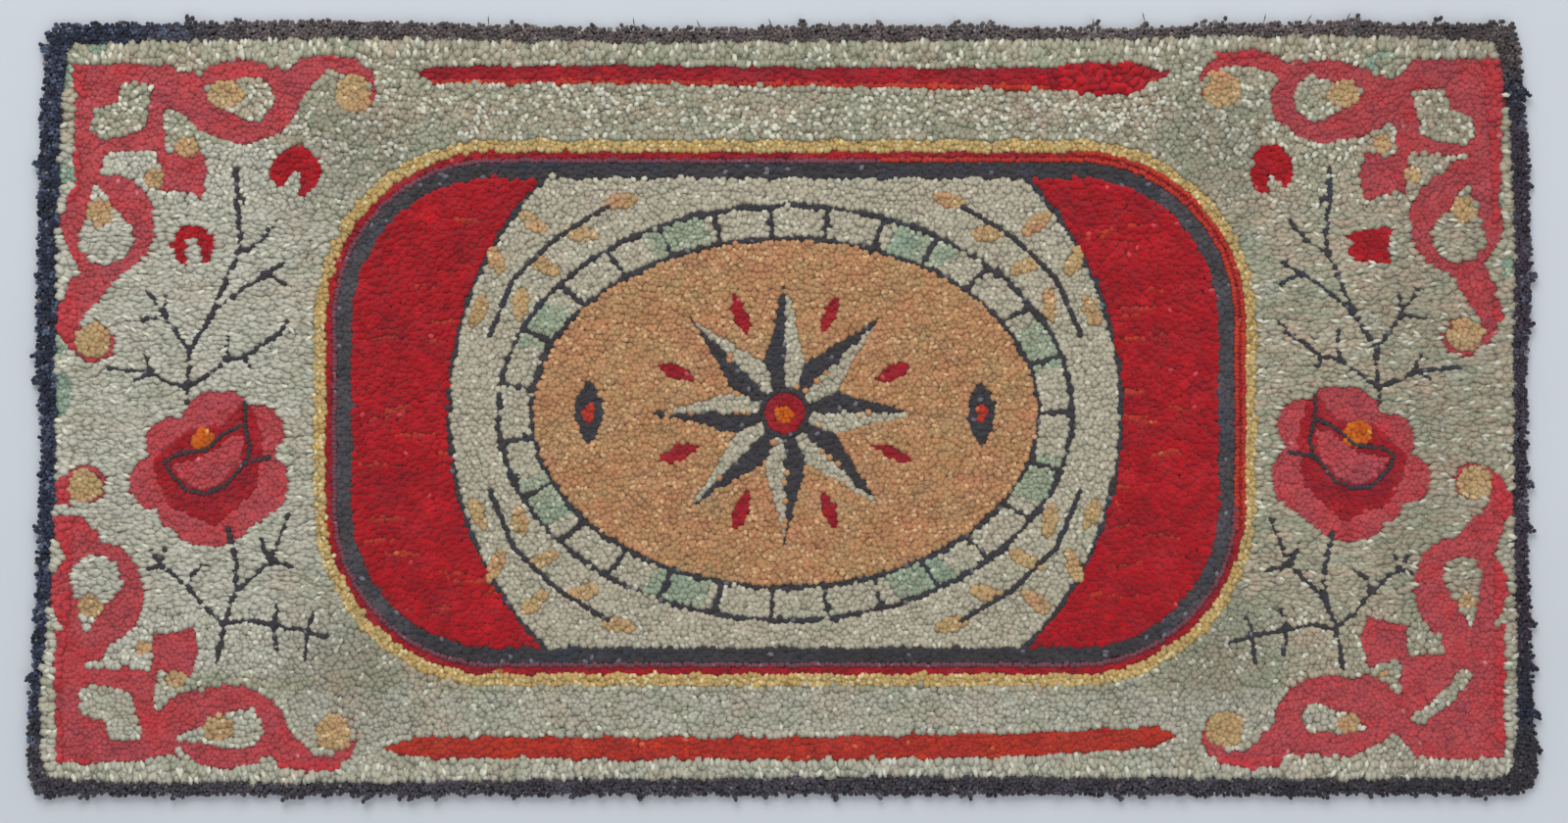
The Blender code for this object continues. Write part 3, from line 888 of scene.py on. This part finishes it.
def yarn_tufts(yarn, layout, draw):
    """The tufts of one yarn at their places: heights, sizes, turns and dyes."""
    hooking, at, count = HOOKINGS[yarn], layout.places, len(layout.places)
    patchy = 0.4 if hooking.ground else 0.7
    heights = field_tops(at) + hooking.rise + layout.lift
    halves = layout.pitch[:, None] * (GROUND_FILL if hooking.ground else FIGURE_FILL)
    tufts = SimpleNamespace(
        at=at,
        room=layout.room,
        rim=-polygon(at, FIELD_LINE),
        tops=heights + draw.normal(0, hooking.uneven, count).clip(-1.0, 1.2),
        widths=halves * draw.uniform(0.9, 1.12, (count, 2)),
        turns=draw.uniform(0, 2 * math.pi, count),
        leans=draw.normal(0, 0.5, (count, 2)),
        shade=(1 - patchy) * draw.random(count) + patchy * (0.5 + 0.9 * lumps(at, 13.0, 47.0)),
        warmth=0.8 * lumps(at, 42.0, 61.0) + 0.7 * lumps(at, 12.0, 67.0),
        fade=0.5 * lumps(at, 24.0, 73.0),
        pale=(draw.random(count) < hooking.pale_share) * 1.0,
    )
    if yarn == "sage":
        dress_ground(tufts, draw)
    if yarn == "coral":
        rework_scrolls(tufts, draw)
        # Painted shade: the coral is darker towards the upper right.
        tufts.shade -= 0.25 * (at[:, 0] > 400) * (at[:, 1] > 0)
    if yarn == "cherry":
        shag_mend(tufts, draw)
    if yarn == "green":
        tufts.warmth -= 0.8 * (np.abs(at[:, 0]) > 500)
    if yarn == "charcoal":
        worn = (np.abs(at[:, 0] - FRAME_MIDDLE[0]) > 340) & (layout.lift == 0)
        tufts.fade += np.where(worn, 0.3, -0.3)
        tufts.shade -= np.where(worn, 0.0, 0.35)
    # Pale tips, partly pale yarn and partly painted highlights on the cut ends, stand higher and narrower.
    tips = tufts.pale > 0.5
    tufts.tops += 0.35 * tips
    tufts.widths *= np.where(tips[:, None], (0.95, 0.66), (1.0, 1.0))
    feet = np.full(count, bpy.context.scene.rug_sizes.bed_top * 1000 - 1.6)
    dyes = (tufts.shade.clip(0, 1), tufts.warmth.clip(-0.85, 0.85), tufts.fade.clip(0, 1), tufts.pale)
    return Tufts(at, tufts.tops, feet, tufts.widths, tufts.turns, tufts.leans, np.column_stack(dyes))


def dress_ground(tufts, draw):
    """The sage ground: combed round the sprigs, looped over the border's edge in bundles with painted
    shade in their partings, lighter and greyer at the left and darker at the right as painted light and
    shade, greyer below, with more pale tips, partly painted highlights, beside the figures, flecked between
    the bars and the frame, and patched in a pinkish yarn under the upper bar's mend."""
    x, y, count = tufts.at[:, 0], tufts.at[:, 1], len(tufts.at)
    strip = tufts.rim < 15
    combed = (np.abs(x) > 400) & (np.abs(y) < 180) & ~strip
    streaky = tufts.at[combed] * (0.35, 1.3)
    tufts.turns[combed] = draw.normal(0, 0.35, combed.sum())
    tufts.shade[combed] = 0.5 * draw.random(combed.sum()) + 0.25 + 0.7 * lumps(streaky, 7.0, 43.0)
    tufts.warmth[combed] = 0.9 * lumps(tufts.at[combed], 42.0, 61.0) + 1.0 * lumps(streaky, 9.0, 67.0)
    near = np.flatnonzero(strip)
    out = way_out(tufts.at[near])
    tufts.turns[near] = out + draw.normal(0, 0.35, len(near))
    tufts.leans[near] += 1.4 * np.column_stack((np.cos(out), np.sin(out)))
    tufts.widths *= np.where(combed[:, None], (1.5, 0.8), np.where(strip[:, None], (1.4, 1.0), (1.0, 1.0)))
    # Along the rim the loops stand in bundles, some 12 mm wide, lower in the partings between them, which are
    # darkened as painted shade.
    beside = np.where(np.abs(np.sin(out)) > 0.7, x[near], y[near]) + 4.0 * lumps(tufts.at[near], 24.0, 101.0)
    parting = 1 - np.sqrt(np.abs(np.sin(math.pi * beside / 12.0)))
    tufts.tops[near] -= 1.3 * parting
    tufts.shade[near] -= 0.7 * parting
    # Beside the figures the tufts stand higher, and more of them get pale tips, partly painted highlights.
    edge = (tufts.room < 3.2) & (rows_gap(tufts.at) > 4.0)
    tufts.tops += 0.4 * edge + 0.4 * strip
    # Painted light and shade: darker at the right and lighter at the left; the strip along the rim is lighter
    # too.
    tufts.shade += 0.25 * strip - 0.25 * (x > 540) + 0.12 * (x < -400)
    chance = draw.random(count)
    flecked = (y > 225) & (lumps(tufts.at, 34.0, 87.0) > -0.1)
    patch = np.exp(-(((x - PATCH[0]) / PATCH[2]) ** 2) - ((y - PATCH[1]) / PATCH[3]) ** 2)
    kinds = (patch > 0.35, edge | strip, flecked, combed, y < -240)
    tufts.pale = (chance < np.select(kinds, (0.35, 0.17, 0.22, 0.05, 0.05), 0.11)) * 1.0
    tufts.shade -= 0.15 * flecked * (tufts.pale < 0.5)
    tufts.tops += 0.4 * flecked * tufts.pale + patch * draw.normal(0, 0.7, count).clip(-1, 1)
    # The ground is darker just outside the frame's four corners.
    darker_near_corners = np.exp(-(((np.abs(x) - 395) / 50) ** 2) - ((np.abs(y) - 228) / 48) ** 2)
    tufts.shade -= 0.75 * darker_near_corners
    tufts.warmth += 1.2 * patch + 0.25 * (x > 450)
    # Painted light: the faded colour lightens the left side; below, the ground is greyer.
    tufts.fade += 0.75 * np.clip((-x - 350) / 120, 0, 1) * (np.abs(y) < 240) + 0.45 * (y < -255)


def rework_scrolls(tufts, draw):
    """The scrolls' outer edges were hooked again later, in a brighter and coarser red."""
    again = (tufts.rim < 16) & (lumps(tufts.at, 60.0, 99.0) > -0.15)
    tufts.warmth = np.where(again, draw.uniform(0.4, 1.0, len(again)), tufts.warmth)
    tufts.tops += again * draw.uniform(0.2, 1.3, len(again))
    tufts.widths *= np.where(again[:, None], 1.12, 1.0)


def shag_mend(tufts, draw):
    """The upper bar's mend is of coarse loops in two reds."""
    mended = mend_gap(tufts.at) < 1.0
    tufts.warmth = np.where(mended, draw.choice((-0.8, 0.2, 0.85), len(mended)), tufts.warmth)
    tufts.tops += mended * draw.normal(0, 0.7, len(mended)).clip(-1.2, 1.2)
    tufts.widths *= np.where(mended[:, None], (1.3, 0.95), (1.0, 1.0))


class RUG_OT_field_tufts(bpy.types.Operator):
    """Hook the field, one joined mesh of tufts for each yarn"""

    bl_idname = "rug.field_tufts"
    bl_label = "Hook the field"

    def execute(self, context):
        colours = context.scene.yarn_colours
        layout = field_layout()
        draw = np.random.default_rng(41)
        forms = {True: model_tuft(5, 0.82), False: model_tuft(5, 0.88)}
        for yarn, hooking in HOOKINGS.items():
            others = (linear(each) for each in (hooking.warmer, hooking.cooler, hooking.faded, hooking.pale))
            material = dyed_wool_and_painted_shade(f"{yarn}_dyed_wool", LotsAndLight(getattr(colours, yarn)[:], *others))
            picked = layout.yarns == yarn
            tufts = yarn_tufts(yarn, Layout(*(column[picked] for column in layout)), draw)
            zones = zone_of(yarn, tufts.places)
            for zone in np.unique(zones):
                here = Tufts(*(values[zones == zone] for values in tufts))
                made = joined_tufts(f"{zone}_tufts", forms[hooking.ground], here, material)
                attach(made, "root")
                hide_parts("field_pile")
        return {"FINISHED"}


def border_places():
    """Where the border's locks stand, with how far across it each is, from 0 outside to 1 inside."""
    pitch = bpy.context.scene.rug_sizes.lock_pitch * 1000
    places = scatter(RUG_LINE.min(axis=0), RUG_LINE.max(axis=0) + pitch, pitch, 0.2 * pitch, 51)
    middle = np.abs(places[:, 0]) < 600
    places = places[~(middle & (np.abs(places[:, 1]) < 300))]
    outside = polygon(places, RUG_LINE)
    places, outside = places[outside < -0.6], outside[outside < -0.6]
    inside = polygon(places, FIELD_LINE)
    keep = inside > 0.2
    return places[keep], (-outside[keep]) / (inside[keep] - outside[keep])


def border_dyes_and_light(p, tone, draw):
    """The border's colours: umber along the top, plum down the right and navy elsewhere, with painted
    highlights on the clumps, painted shade in the lower right and in the upper right corner, and pale tips,
    partly painted highlights.
    """
    x, y = p[:, 0], p[:, 1]
    top = np.clip((y - 250) / 60, 0, 1) * np.clip((x + 590) / 120, 0, 1)
    right = np.clip((x - 600) / 50, 0, 1) * np.clip((y + 290) / 80, 0, 1) * np.clip((330 - y) / 60, 0, 1)
    below = np.clip((-250 - y) / 60, 0, 1) * 0.45
    warmth = np.clip(top + below - 0.85 * right + 0.3 * lumps(p, 30.0, 71.0) * (top + right), -1, 1)
    # Painted shade: darker towards the lower right and in the upper right corner.
    low_right = np.clip((x + y * -1.0 - 700) / 200, 0, 1)
    top_right = top * np.clip((x - 480) / 150, 0, 1)
    shade = 0.4 * draw.random(len(p)) + 0.7 * tone - 0.4 * low_right - 0.35 * top_right
    # Painted highlights: blue-grey where the navy and plum clumps catch the light.
    painted_highlights = np.where(warmth < 0.4, 1.1 * (tone + lumps(p, 4.0, 77.0) - 0.35), 0)
    fade = painted_highlights - 0.5 * low_right - 0.4 * right
    # Pale tips, partly painted highlights, are commoner along the top.
    pale = (draw.random(len(p)) < 0.03 + 0.1 * (top > 0.5)) * draw.uniform(0.2, 0.8, len(p))
    return np.column_stack((shade.clip(0, 1), warmth, fade.clip(0, 0.8), pale))


def gathered(places, draw):
    """The middle of the clump that each lock gathers in, and its height, spread and tone, from 0 to 1."""
    pitch = bpy.context.scene.rug_sizes.clump_pitch * 1000
    middles = scatter(RUG_LINE.min(axis=0) - pitch, RUG_LINE.max(axis=0) + pitch, pitch, 0.2 * pitch, 57)
    middles = middles[(polygon(middles, FIELD_LINE) > -4) & (polygon(middles, RUG_LINE) < 3)]
    tree = KDTree(len(middles))
    for number, (x, y) in enumerate(middles):
        tree.insert((x, y, 0.0), number)
    tree.balance()
    nearest = np.array([tree.find((x, y, 0.0))[1] for x, y in places])
    return middles[nearest], *draw.random((3, len(middles)))[:, nearest]


# Where loose yarn ends stick out of the upper edge, along the length.
LOOSE_ENDS = (-265.5, -132.3, -71.9, -6.2, 42.6, 285.0, 331.2, 437.8, 475.1, 510.6)


def loose_threads():
    """The feet of the dark yarn ends that stick out of the upper edge."""
    order = np.argsort(RUG_LINE[:, 0][RUG_LINE[:, 1] > 0])
    upper = RUG_LINE[RUG_LINE[:, 1] > 0][order]
    return np.column_stack((LOOSE_ENDS, np.interp(LOOSE_ENDS, upper[:, 0], upper[:, 1]) - 2.0))


class RUG_OT_border_locks(bpy.types.Operator):
    """Work the dark border in longer locks, gathered in clumps that swell out over the rug's edge"""

    bl_idname = "rug.border_locks"
    bl_label = "Work the border"

    def execute(self, context):
        colours = context.scene.yarn_colours
        draw = np.random.default_rng(53)
        places, across = border_places()
        turns = way_out(places)
        outward = np.column_stack((np.cos(turns), np.sin(turns)))
        middles, height, spread, tone = gathered(places, draw)
        off = places - middles
        splay = np.clip((0.35 - across) / 0.35, 0, 1)
        leans = 0.45 * off + outward * (splay * (1.2 + 2.4 * spread))[:, None]
        leans += draw.normal(0, 0.4, off.shape)
        # The innermost locks are pushed outwards by the field's last row of loops.
        leans += outward * (1.2 * np.clip((across - 0.7) / 0.3, 0, 1))[:, None]
        tops = context.scene.rug_sizes.border_top * 1000 + 2.0 * (height - 0.5)
        tops += draw.normal(0, 0.3, len(places))
        sunk = (off**2).sum(axis=1).clip(0, 26)
        tops -= 0.13 * sunk + 3.8 * splay**1.6 + 1.5 * np.clip((across - 0.8) / 0.2, 0, 1)
        widths = draw.uniform(1.8, 2.5, (len(places), 2))
        # Painted shade: each clump darkens towards its sunken edges.
        dyes = border_dyes_and_light(places, tone - 0.02 * sunk, draw)
        ends = loose_threads()
        places = np.concatenate((places, ends))
        tufts = Tufts(
            places,
            np.concatenate((tops, draw.uniform(6.0, 9.0, len(ends)))),
            np.full(len(places), 2.2),
            np.concatenate((widths, np.full((len(ends), 2), 0.55))),
            draw.uniform(0, 2 * math.pi, len(places)),
            np.concatenate((leans, draw.normal((0.0, 11.0), (4.0, 2.5), ends.shape))),
            np.concatenate((dyes, np.full((len(ends), 4), (0.2, 0.3, 0.0, 0.0)))),
        )
        # The blue-grey lot is the clumps' painted highlight, and the locks darken to 0.6 at the root as
        # painted shade.
        others = (linear(each) for each in ("#4a3d49", "#59647a", "#8d8680"))
        lots_and_light = LotsAndLight(colours.navy[:], colours.umber[:], *others)
        material = dyed_wool_and_painted_shade("navy_and_umber_wool", lots_and_light, 0.6, (0.55, 1.45), 0.8)
        made = joined_tufts("border_locks", model_tuft(5, 0.78), tufts, material)
        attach(made, "root")
        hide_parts("border_pile")
        return {"FINISHED"}


def sides_of(line):
    """The four sides of a closed outline, cut at its corners: lower, right, upper and left, all left to right
    or upwards."""
    picks = [int(np.argmax(line @ np.array(way))) for way in ((-1, -1), (1, -1), (1, 1), (-1, 1))]
    sides = []
    for start, end in zip(picks, picks[1:] + picks[:1]):
        end = end if end > start else end + len(line)
        sides.append(line[np.arange(start, end + 1) % len(line)])
    return sides[0], sides[1], sides[2][::-1], sides[3][::-1]


def along(side, shares):
    """Points at shares along a side, evenly spaced the way that it runs."""
    run = int(np.argmax(np.abs(side[-1] - side[0])))
    marks = side[0, run] + shares * (side[-1, run] - side[0, run])
    ordered = side[np.argsort(side[:, run])]
    return np.column_stack([np.interp(marks, ordered[:, run], ordered[:, axis]) for axis in (0, 1)])


def fitted(line, s, t):
    """Where shares across and up of a sheet lie, when it is laid to an uneven outline."""
    lower, right, upper, left = sides_of(line)
    s1, t1 = s[:, None], t[:, None]
    ruled = along(lower, s) * (1 - t1) + along(upper, s) * t1
    ruled += along(left, t) * (1 - s1) + along(right, t) * s1
    corners = lower[0] * (1 - s1) * (1 - t1) + lower[-1] * s1 * (1 - t1) + upper[-1] * s1 * t1
    return ruled - corners - upper[0] * (1 - s1) * t1


def laid_grid(name, line, cells_x, cells_y):
    """A grid laid to an outline, as an object, with its places in millimetres."""
    nothing_selected()
    bpy.ops.mesh.primitive_grid_add(x_subdivisions=cells_x, y_subdivisions=cells_y, size=2.0)
    made = bpy.context.object
    made.name = made.data.name = name
    flat = np.empty(len(made.data.vertices) * 3)
    made.data.vertices.foreach_get("co", flat)
    flat = flat.reshape(-1, 3)
    places = fitted(line, (flat[:, 0] + 1) / 2, (flat[:, 1] + 1) / 2)
    return made, places


def thickened(made, thickness):
    nothing_selected()
    made.select_set(True)
    bpy.context.view_layer.objects.active = made
    wall = made.modifiers.new("Wall", "SOLIDIFY")
    wall.thickness = thickness
    wall.offset = -1.0
    bpy.ops.object.modifier_apply(modifier=wall.name)


def yarn_tint(places, colours, dark):
    """The colour of the yarn at each place, darkened by a share, as it shows deep in the pile, where the
    darkening is painted shade, or on the back.
    """
    yarn, _ = pattern(places)
    rows = yarn == "rows"
    yarn[rows] = "charcoal"
    tints = np.array([toned(getattr(colours, name), dark) for name in HOOKINGS])
    which = np.array([list(HOOKINGS).index(name) for name in yarn])
    return np.column_stack((tints[which], np.ones(len(places))))


class RUG_OT_pile_bed(bpy.types.Operator):
    """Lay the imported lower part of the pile, seen only between tufts"""

    bl_idname = "rug.pile_bed"
    bl_label = "Lay the pile's bed"

    def execute(self, context):
        colours, sizes = context.scene.yarn_colours, context.scene.rug_sizes
        inner = CLOTH_LINE * (1 - 1.6 / np.linalg.norm(CLOTH_LINE, axis=1))[:, None]
        made, places = laid_grid("pile_bed", inner, 200, 104)
        border = np.clip(polygon(places, FIELD_LINE) / 3, 0, 1)
        edge = np.clip(-polygon(places, inner) / 3, 0, 1)
        tops = sizes.bed_top * 1000 - 1.0 * border * edge - 1.8 * (1 - edge)
        made.data.vertices.foreach_set("co", (np.column_stack((places, tops)) * MM).ravel())
        # Painted shade between the tufts: the bed takes the yarn's colour darkened, and under the border a
        # dark charcoal.
        tints = yarn_tint(places, colours, FIELD_SEAM_SHADE)
        tints[border > 0.5, :3] = toned(colours.charcoal, BORDER_SEAM_SHADE)
        made.data.attributes.new("yarn", "FLOAT_COLOR", "POINT").data.foreach_set("color", tints.ravel())
        thickened(made, sizes.bed_top - 0.0024)
        made.data.materials.append(packed_wool())
        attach(made, "root")
        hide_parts("field_pile", "border_pile")
        return {"FINISHED"}


def packed_wool():
    """Wool packed at the foot of the pile: matt, in the colour of the yarn above, darkened as painted shade.
    """
    material = bpy.data.materials.new("packed_wool")
    material.use_nodes = True
    tree = material.node_tree
    shader = tree.nodes["Principled BSDF"]
    shader.inputs["Roughness"].default_value = 1.0
    shader.inputs["Specular IOR Level"].default_value = 0.1
    yarn = add_node(tree, "ShaderNodeAttribute", attribute_name="yarn").outputs["Color"]
    place = add_node(tree, "ShaderNodeTexCoord").outputs["Object"]
    fuzz = add_node(tree, "ShaderNodeTexNoise", {"Vector": place, "Scale": 700.0}).outputs["Fac"]
    tree.links.new(yarn, shader.inputs["Base Color"])
    bump = add_node(
        tree, "ShaderNodeBump", {"Height": fuzz, "Strength": 0.6, "Distance": 0.001}
    ).outputs["Normal"]
    tree.links.new(bump, shader.inputs["Normal"])
    return material


THREAD_SPACING = 0.0016
# A wave texture at a scale of 1 repeats at every so many metres.
WAVE_REPEAT = 0.314
# How far the threads waver.
WAVER = {"Distortion": 0.6, "Detail": 1.0, "Detail Scale": 8.0}


def woven_jute():
    """Hessian: plain-woven jute, matt and dusty, with the backs of the hooked yarns showing through it.

    The threads are 1.6 mm apart, some 16 to the inch. The yarns show on the back as short rows of stitches.
    """
    material = bpy.data.materials.new("woven_jute_hessian")
    material.use_nodes = True
    tree = material.node_tree
    shader = tree.nodes["Principled BSDF"]
    shader.inputs["Roughness"].default_value = 0.9
    shader.inputs["Specular IOR Level"].default_value = 0.2
    place = add_node(tree, "ShaderNodeTexCoord").outputs["Object"]
    yarn = add_node(tree, "ShaderNodeAttribute", attribute_name="yarn").outputs["Color"]
    hem = add_node(tree, "ShaderNodeAttribute", attribute_name="hem").outputs["Fac"]
    threads = []
    for way in ("X", "Y"):
        threads.append(
            add_node(
                tree,
                "ShaderNodeTexWave",
                {"Vector": place, "Scale": WAVE_REPEAT / THREAD_SPACING, **WAVER},
                bands_direction=way,
            ).outputs["Fac"]
        )
    weave = add_node(tree, "ShaderNodeMath", {0: threads[0], 1: threads[1]}, operation="MAXIMUM").outputs[0]
    jute = bpy.context.scene.yarn_colours.jute
    cloth = add_node(
        tree,
        "ShaderNodeMix",
        {0: weave, 6: opaque(toned(jute, 0.35)), 7: opaque(jute)},
        data_type="RGBA",
    ).outputs[2]
    flecks = add_node(
        tree, "ShaderNodeTexVoronoi", {"Vector": place, "Scale": 260.0, "Randomness": 0.6}
    ).outputs["Distance"]
    stitch = add_node(
        tree, "ShaderNodeMapRange", {"Value": flecks, "From Min": 0.5, "From Max": 0.32}
    ).outputs["Result"]
    shown = add_node(tree, "ShaderNodeMath", {0: stitch, 1: hem}, operation="MULTIPLY").outputs[0]
    final = add_node(tree, "ShaderNodeMix", {0: shown, 6: cloth, 7: yarn}, data_type="RGBA").outputs[2]
    height = add_node(tree, "ShaderNodeMath", {0: weave, 1: shown}, operation="ADD").outputs[0]
    bump = add_node(
        tree, "ShaderNodeBump", {"Height": height, "Strength": 0.7, "Distance": 0.0006}
    ).outputs["Normal"]
    tree.links.new(final, shader.inputs["Base Color"])
    tree.links.new(bump, shader.inputs["Normal"])
    return material


class RUG_OT_hessian(bpy.types.Operator):
    """Lay the hessian foundation, with a bare margin round its edge"""

    bl_idname = "rug.hessian"
    bl_label = "Lay the hessian"

    def execute(self, context):
        colours, sizes = context.scene.yarn_colours, context.scene.rug_sizes
        made, places = laid_grid("hessian_foundation", CLOTH_LINE, 150, 78)
        inward = -polygon(places, CLOTH_LINE)
        hem = np.clip((inward - 22) / 2, 0, 1)
        tops = sizes.cloth * 1000 + 0.35 * hem
        made.data.vertices.foreach_set("co", (np.column_stack((places, tops)) * MM).ravel())
        tints = yarn_tint(places, colours, 0.9)
        tints[polygon(places, FIELD_LINE) > 0, :3] = colours.navy
        made.data.attributes.new("yarn", "FLOAT_COLOR", "POINT").data.foreach_set("color", tints.ravel())
        made.data.attributes.new("hem", "FLOAT", "POINT").data.foreach_set("value", hem)
        thickened(made, sizes.cloth)
        made.data.materials.append(woven_jute())
        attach(made, "root")
        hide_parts("foundation_cloth")
        return {"FINISHED"}


class RUG_OT_stage(bpy.types.Operator):
    """Set the pale floor, the soft light and the camera straight above the rug"""

    bl_idname = "rug.stage"
    bl_label = "Set the stage"

    def execute(self, context):
        scene = context.scene
        nothing_selected()
        bpy.ops.mesh.primitive_plane_add(size=8.0, location=(0.0, 0.0, -0.0004))
        floor = context.object
        floor.name = "floor"
        material = bpy.data.materials.new("pale_plaster_floor")
        material.use_nodes = True
        tree = material.node_tree
        shader = tree.nodes["Principled BSDF"]
        place = add_node(tree, "ShaderNodeTexCoord").outputs["Object"]
        clouds = add_node(
            tree, "ShaderNodeTexNoise", {"Vector": place, "Scale": 5.0, "Detail": 4.0}
        ).outputs["Fac"]
        base = scene.yarn_colours.floor
        tones = {0: clouds, 6: opaque(toned(base, 0.94)), 7: opaque(toned(base, 1.04))}
        tint = add_node(tree, "ShaderNodeMix", tones, data_type="RGBA").outputs[2]
        tree.links.new(tint, shader.inputs["Base Color"])
        shader.inputs["Roughness"].default_value = 1.0
        shader.inputs["Specular IOR Level"].default_value = 0.05
        floor.data.materials.append(material)
        world = scene.world or bpy.data.worlds.new("studio")
        scene.world = world
        world.use_nodes = True
        world.node_tree.nodes["Background"].inputs["Color"].default_value = (0.92, 0.96, 1.0, 1.0)
        world.node_tree.nodes["Background"].inputs["Strength"].default_value = 0.56
        for name, place, power, size in (
            ("window", (-0.6, 3.0, 2.9), 106.0, 2.6),
            ("fill", (1.6, -1.8, 2.8), 20.0, 2.6),
        ):
            light = bpy.data.lights.new(name, "AREA")
            light.energy, light.size = power, size
            lamp = bpy.data.objects.new(name, light)
            lamp.location = place
            lamp.rotation_euler = (-Vector(place)).to_track_quat("-Z", "Y").to_euler()
            context.collection.objects.link(lamp)
        camera = bpy.data.objects.new("camera", bpy.data.cameras.new("camera"))
        camera.location = (0.0027, -0.0022, 2.6)
        camera.data.sensor_width = 36.0
        camera.data.lens = 36.0 * 2.59 / 1.4208
        context.collection.objects.link(camera)
        scene.camera = camera
        scene.view_settings.view_transform = "Standard"
        return {"FINISHED"}


STEPS = (RUG_OT_pile_bed, RUG_OT_field_tufts, RUG_OT_border_locks, RUG_OT_hessian, RUG_OT_stage)


class RUG_PT_panel(bpy.types.Panel):
    """Hooked rug"""

    bl_idname = "RUG_PT_panel"
    bl_label = "Hooked Rug"
    bl_space_type = "VIEW_3D"
    bl_region_type = "UI"
    bl_category = "Rug"

    def draw(self, context):
        for step in STEPS:
            self.layout.operator(step.bl_idname)
        for group in (context.scene.rug_sizes, context.scene.yarn_colours):
            box = self.layout.box()
            for name in group.bl_rna.properties.keys():
                if name not in ("rna_type", "name"):
                    box.prop(group, name)


CLASSES = (YarnColours, RugSizes, *STEPS, RUG_PT_panel)


def register():
    for made in CLASSES:
        bpy.utils.register_class(made)
    bpy.types.Scene.yarn_colours = bpy.props.PointerProperty(type=YarnColours)
    bpy.types.Scene.rug_sizes = bpy.props.PointerProperty(type=RugSizes)


def unregister():
    del bpy.types.Scene.rug_sizes
    del bpy.types.Scene.yarn_colours
    for made in reversed(CLASSES):
        bpy.utils.unregister_class(made)


def main():
    register()
    for step in STEPS:
        group, name = step.bl_idname.split(".")
        getattr(getattr(bpy.ops, group), name)()


if __name__ == "__main__":
    main()
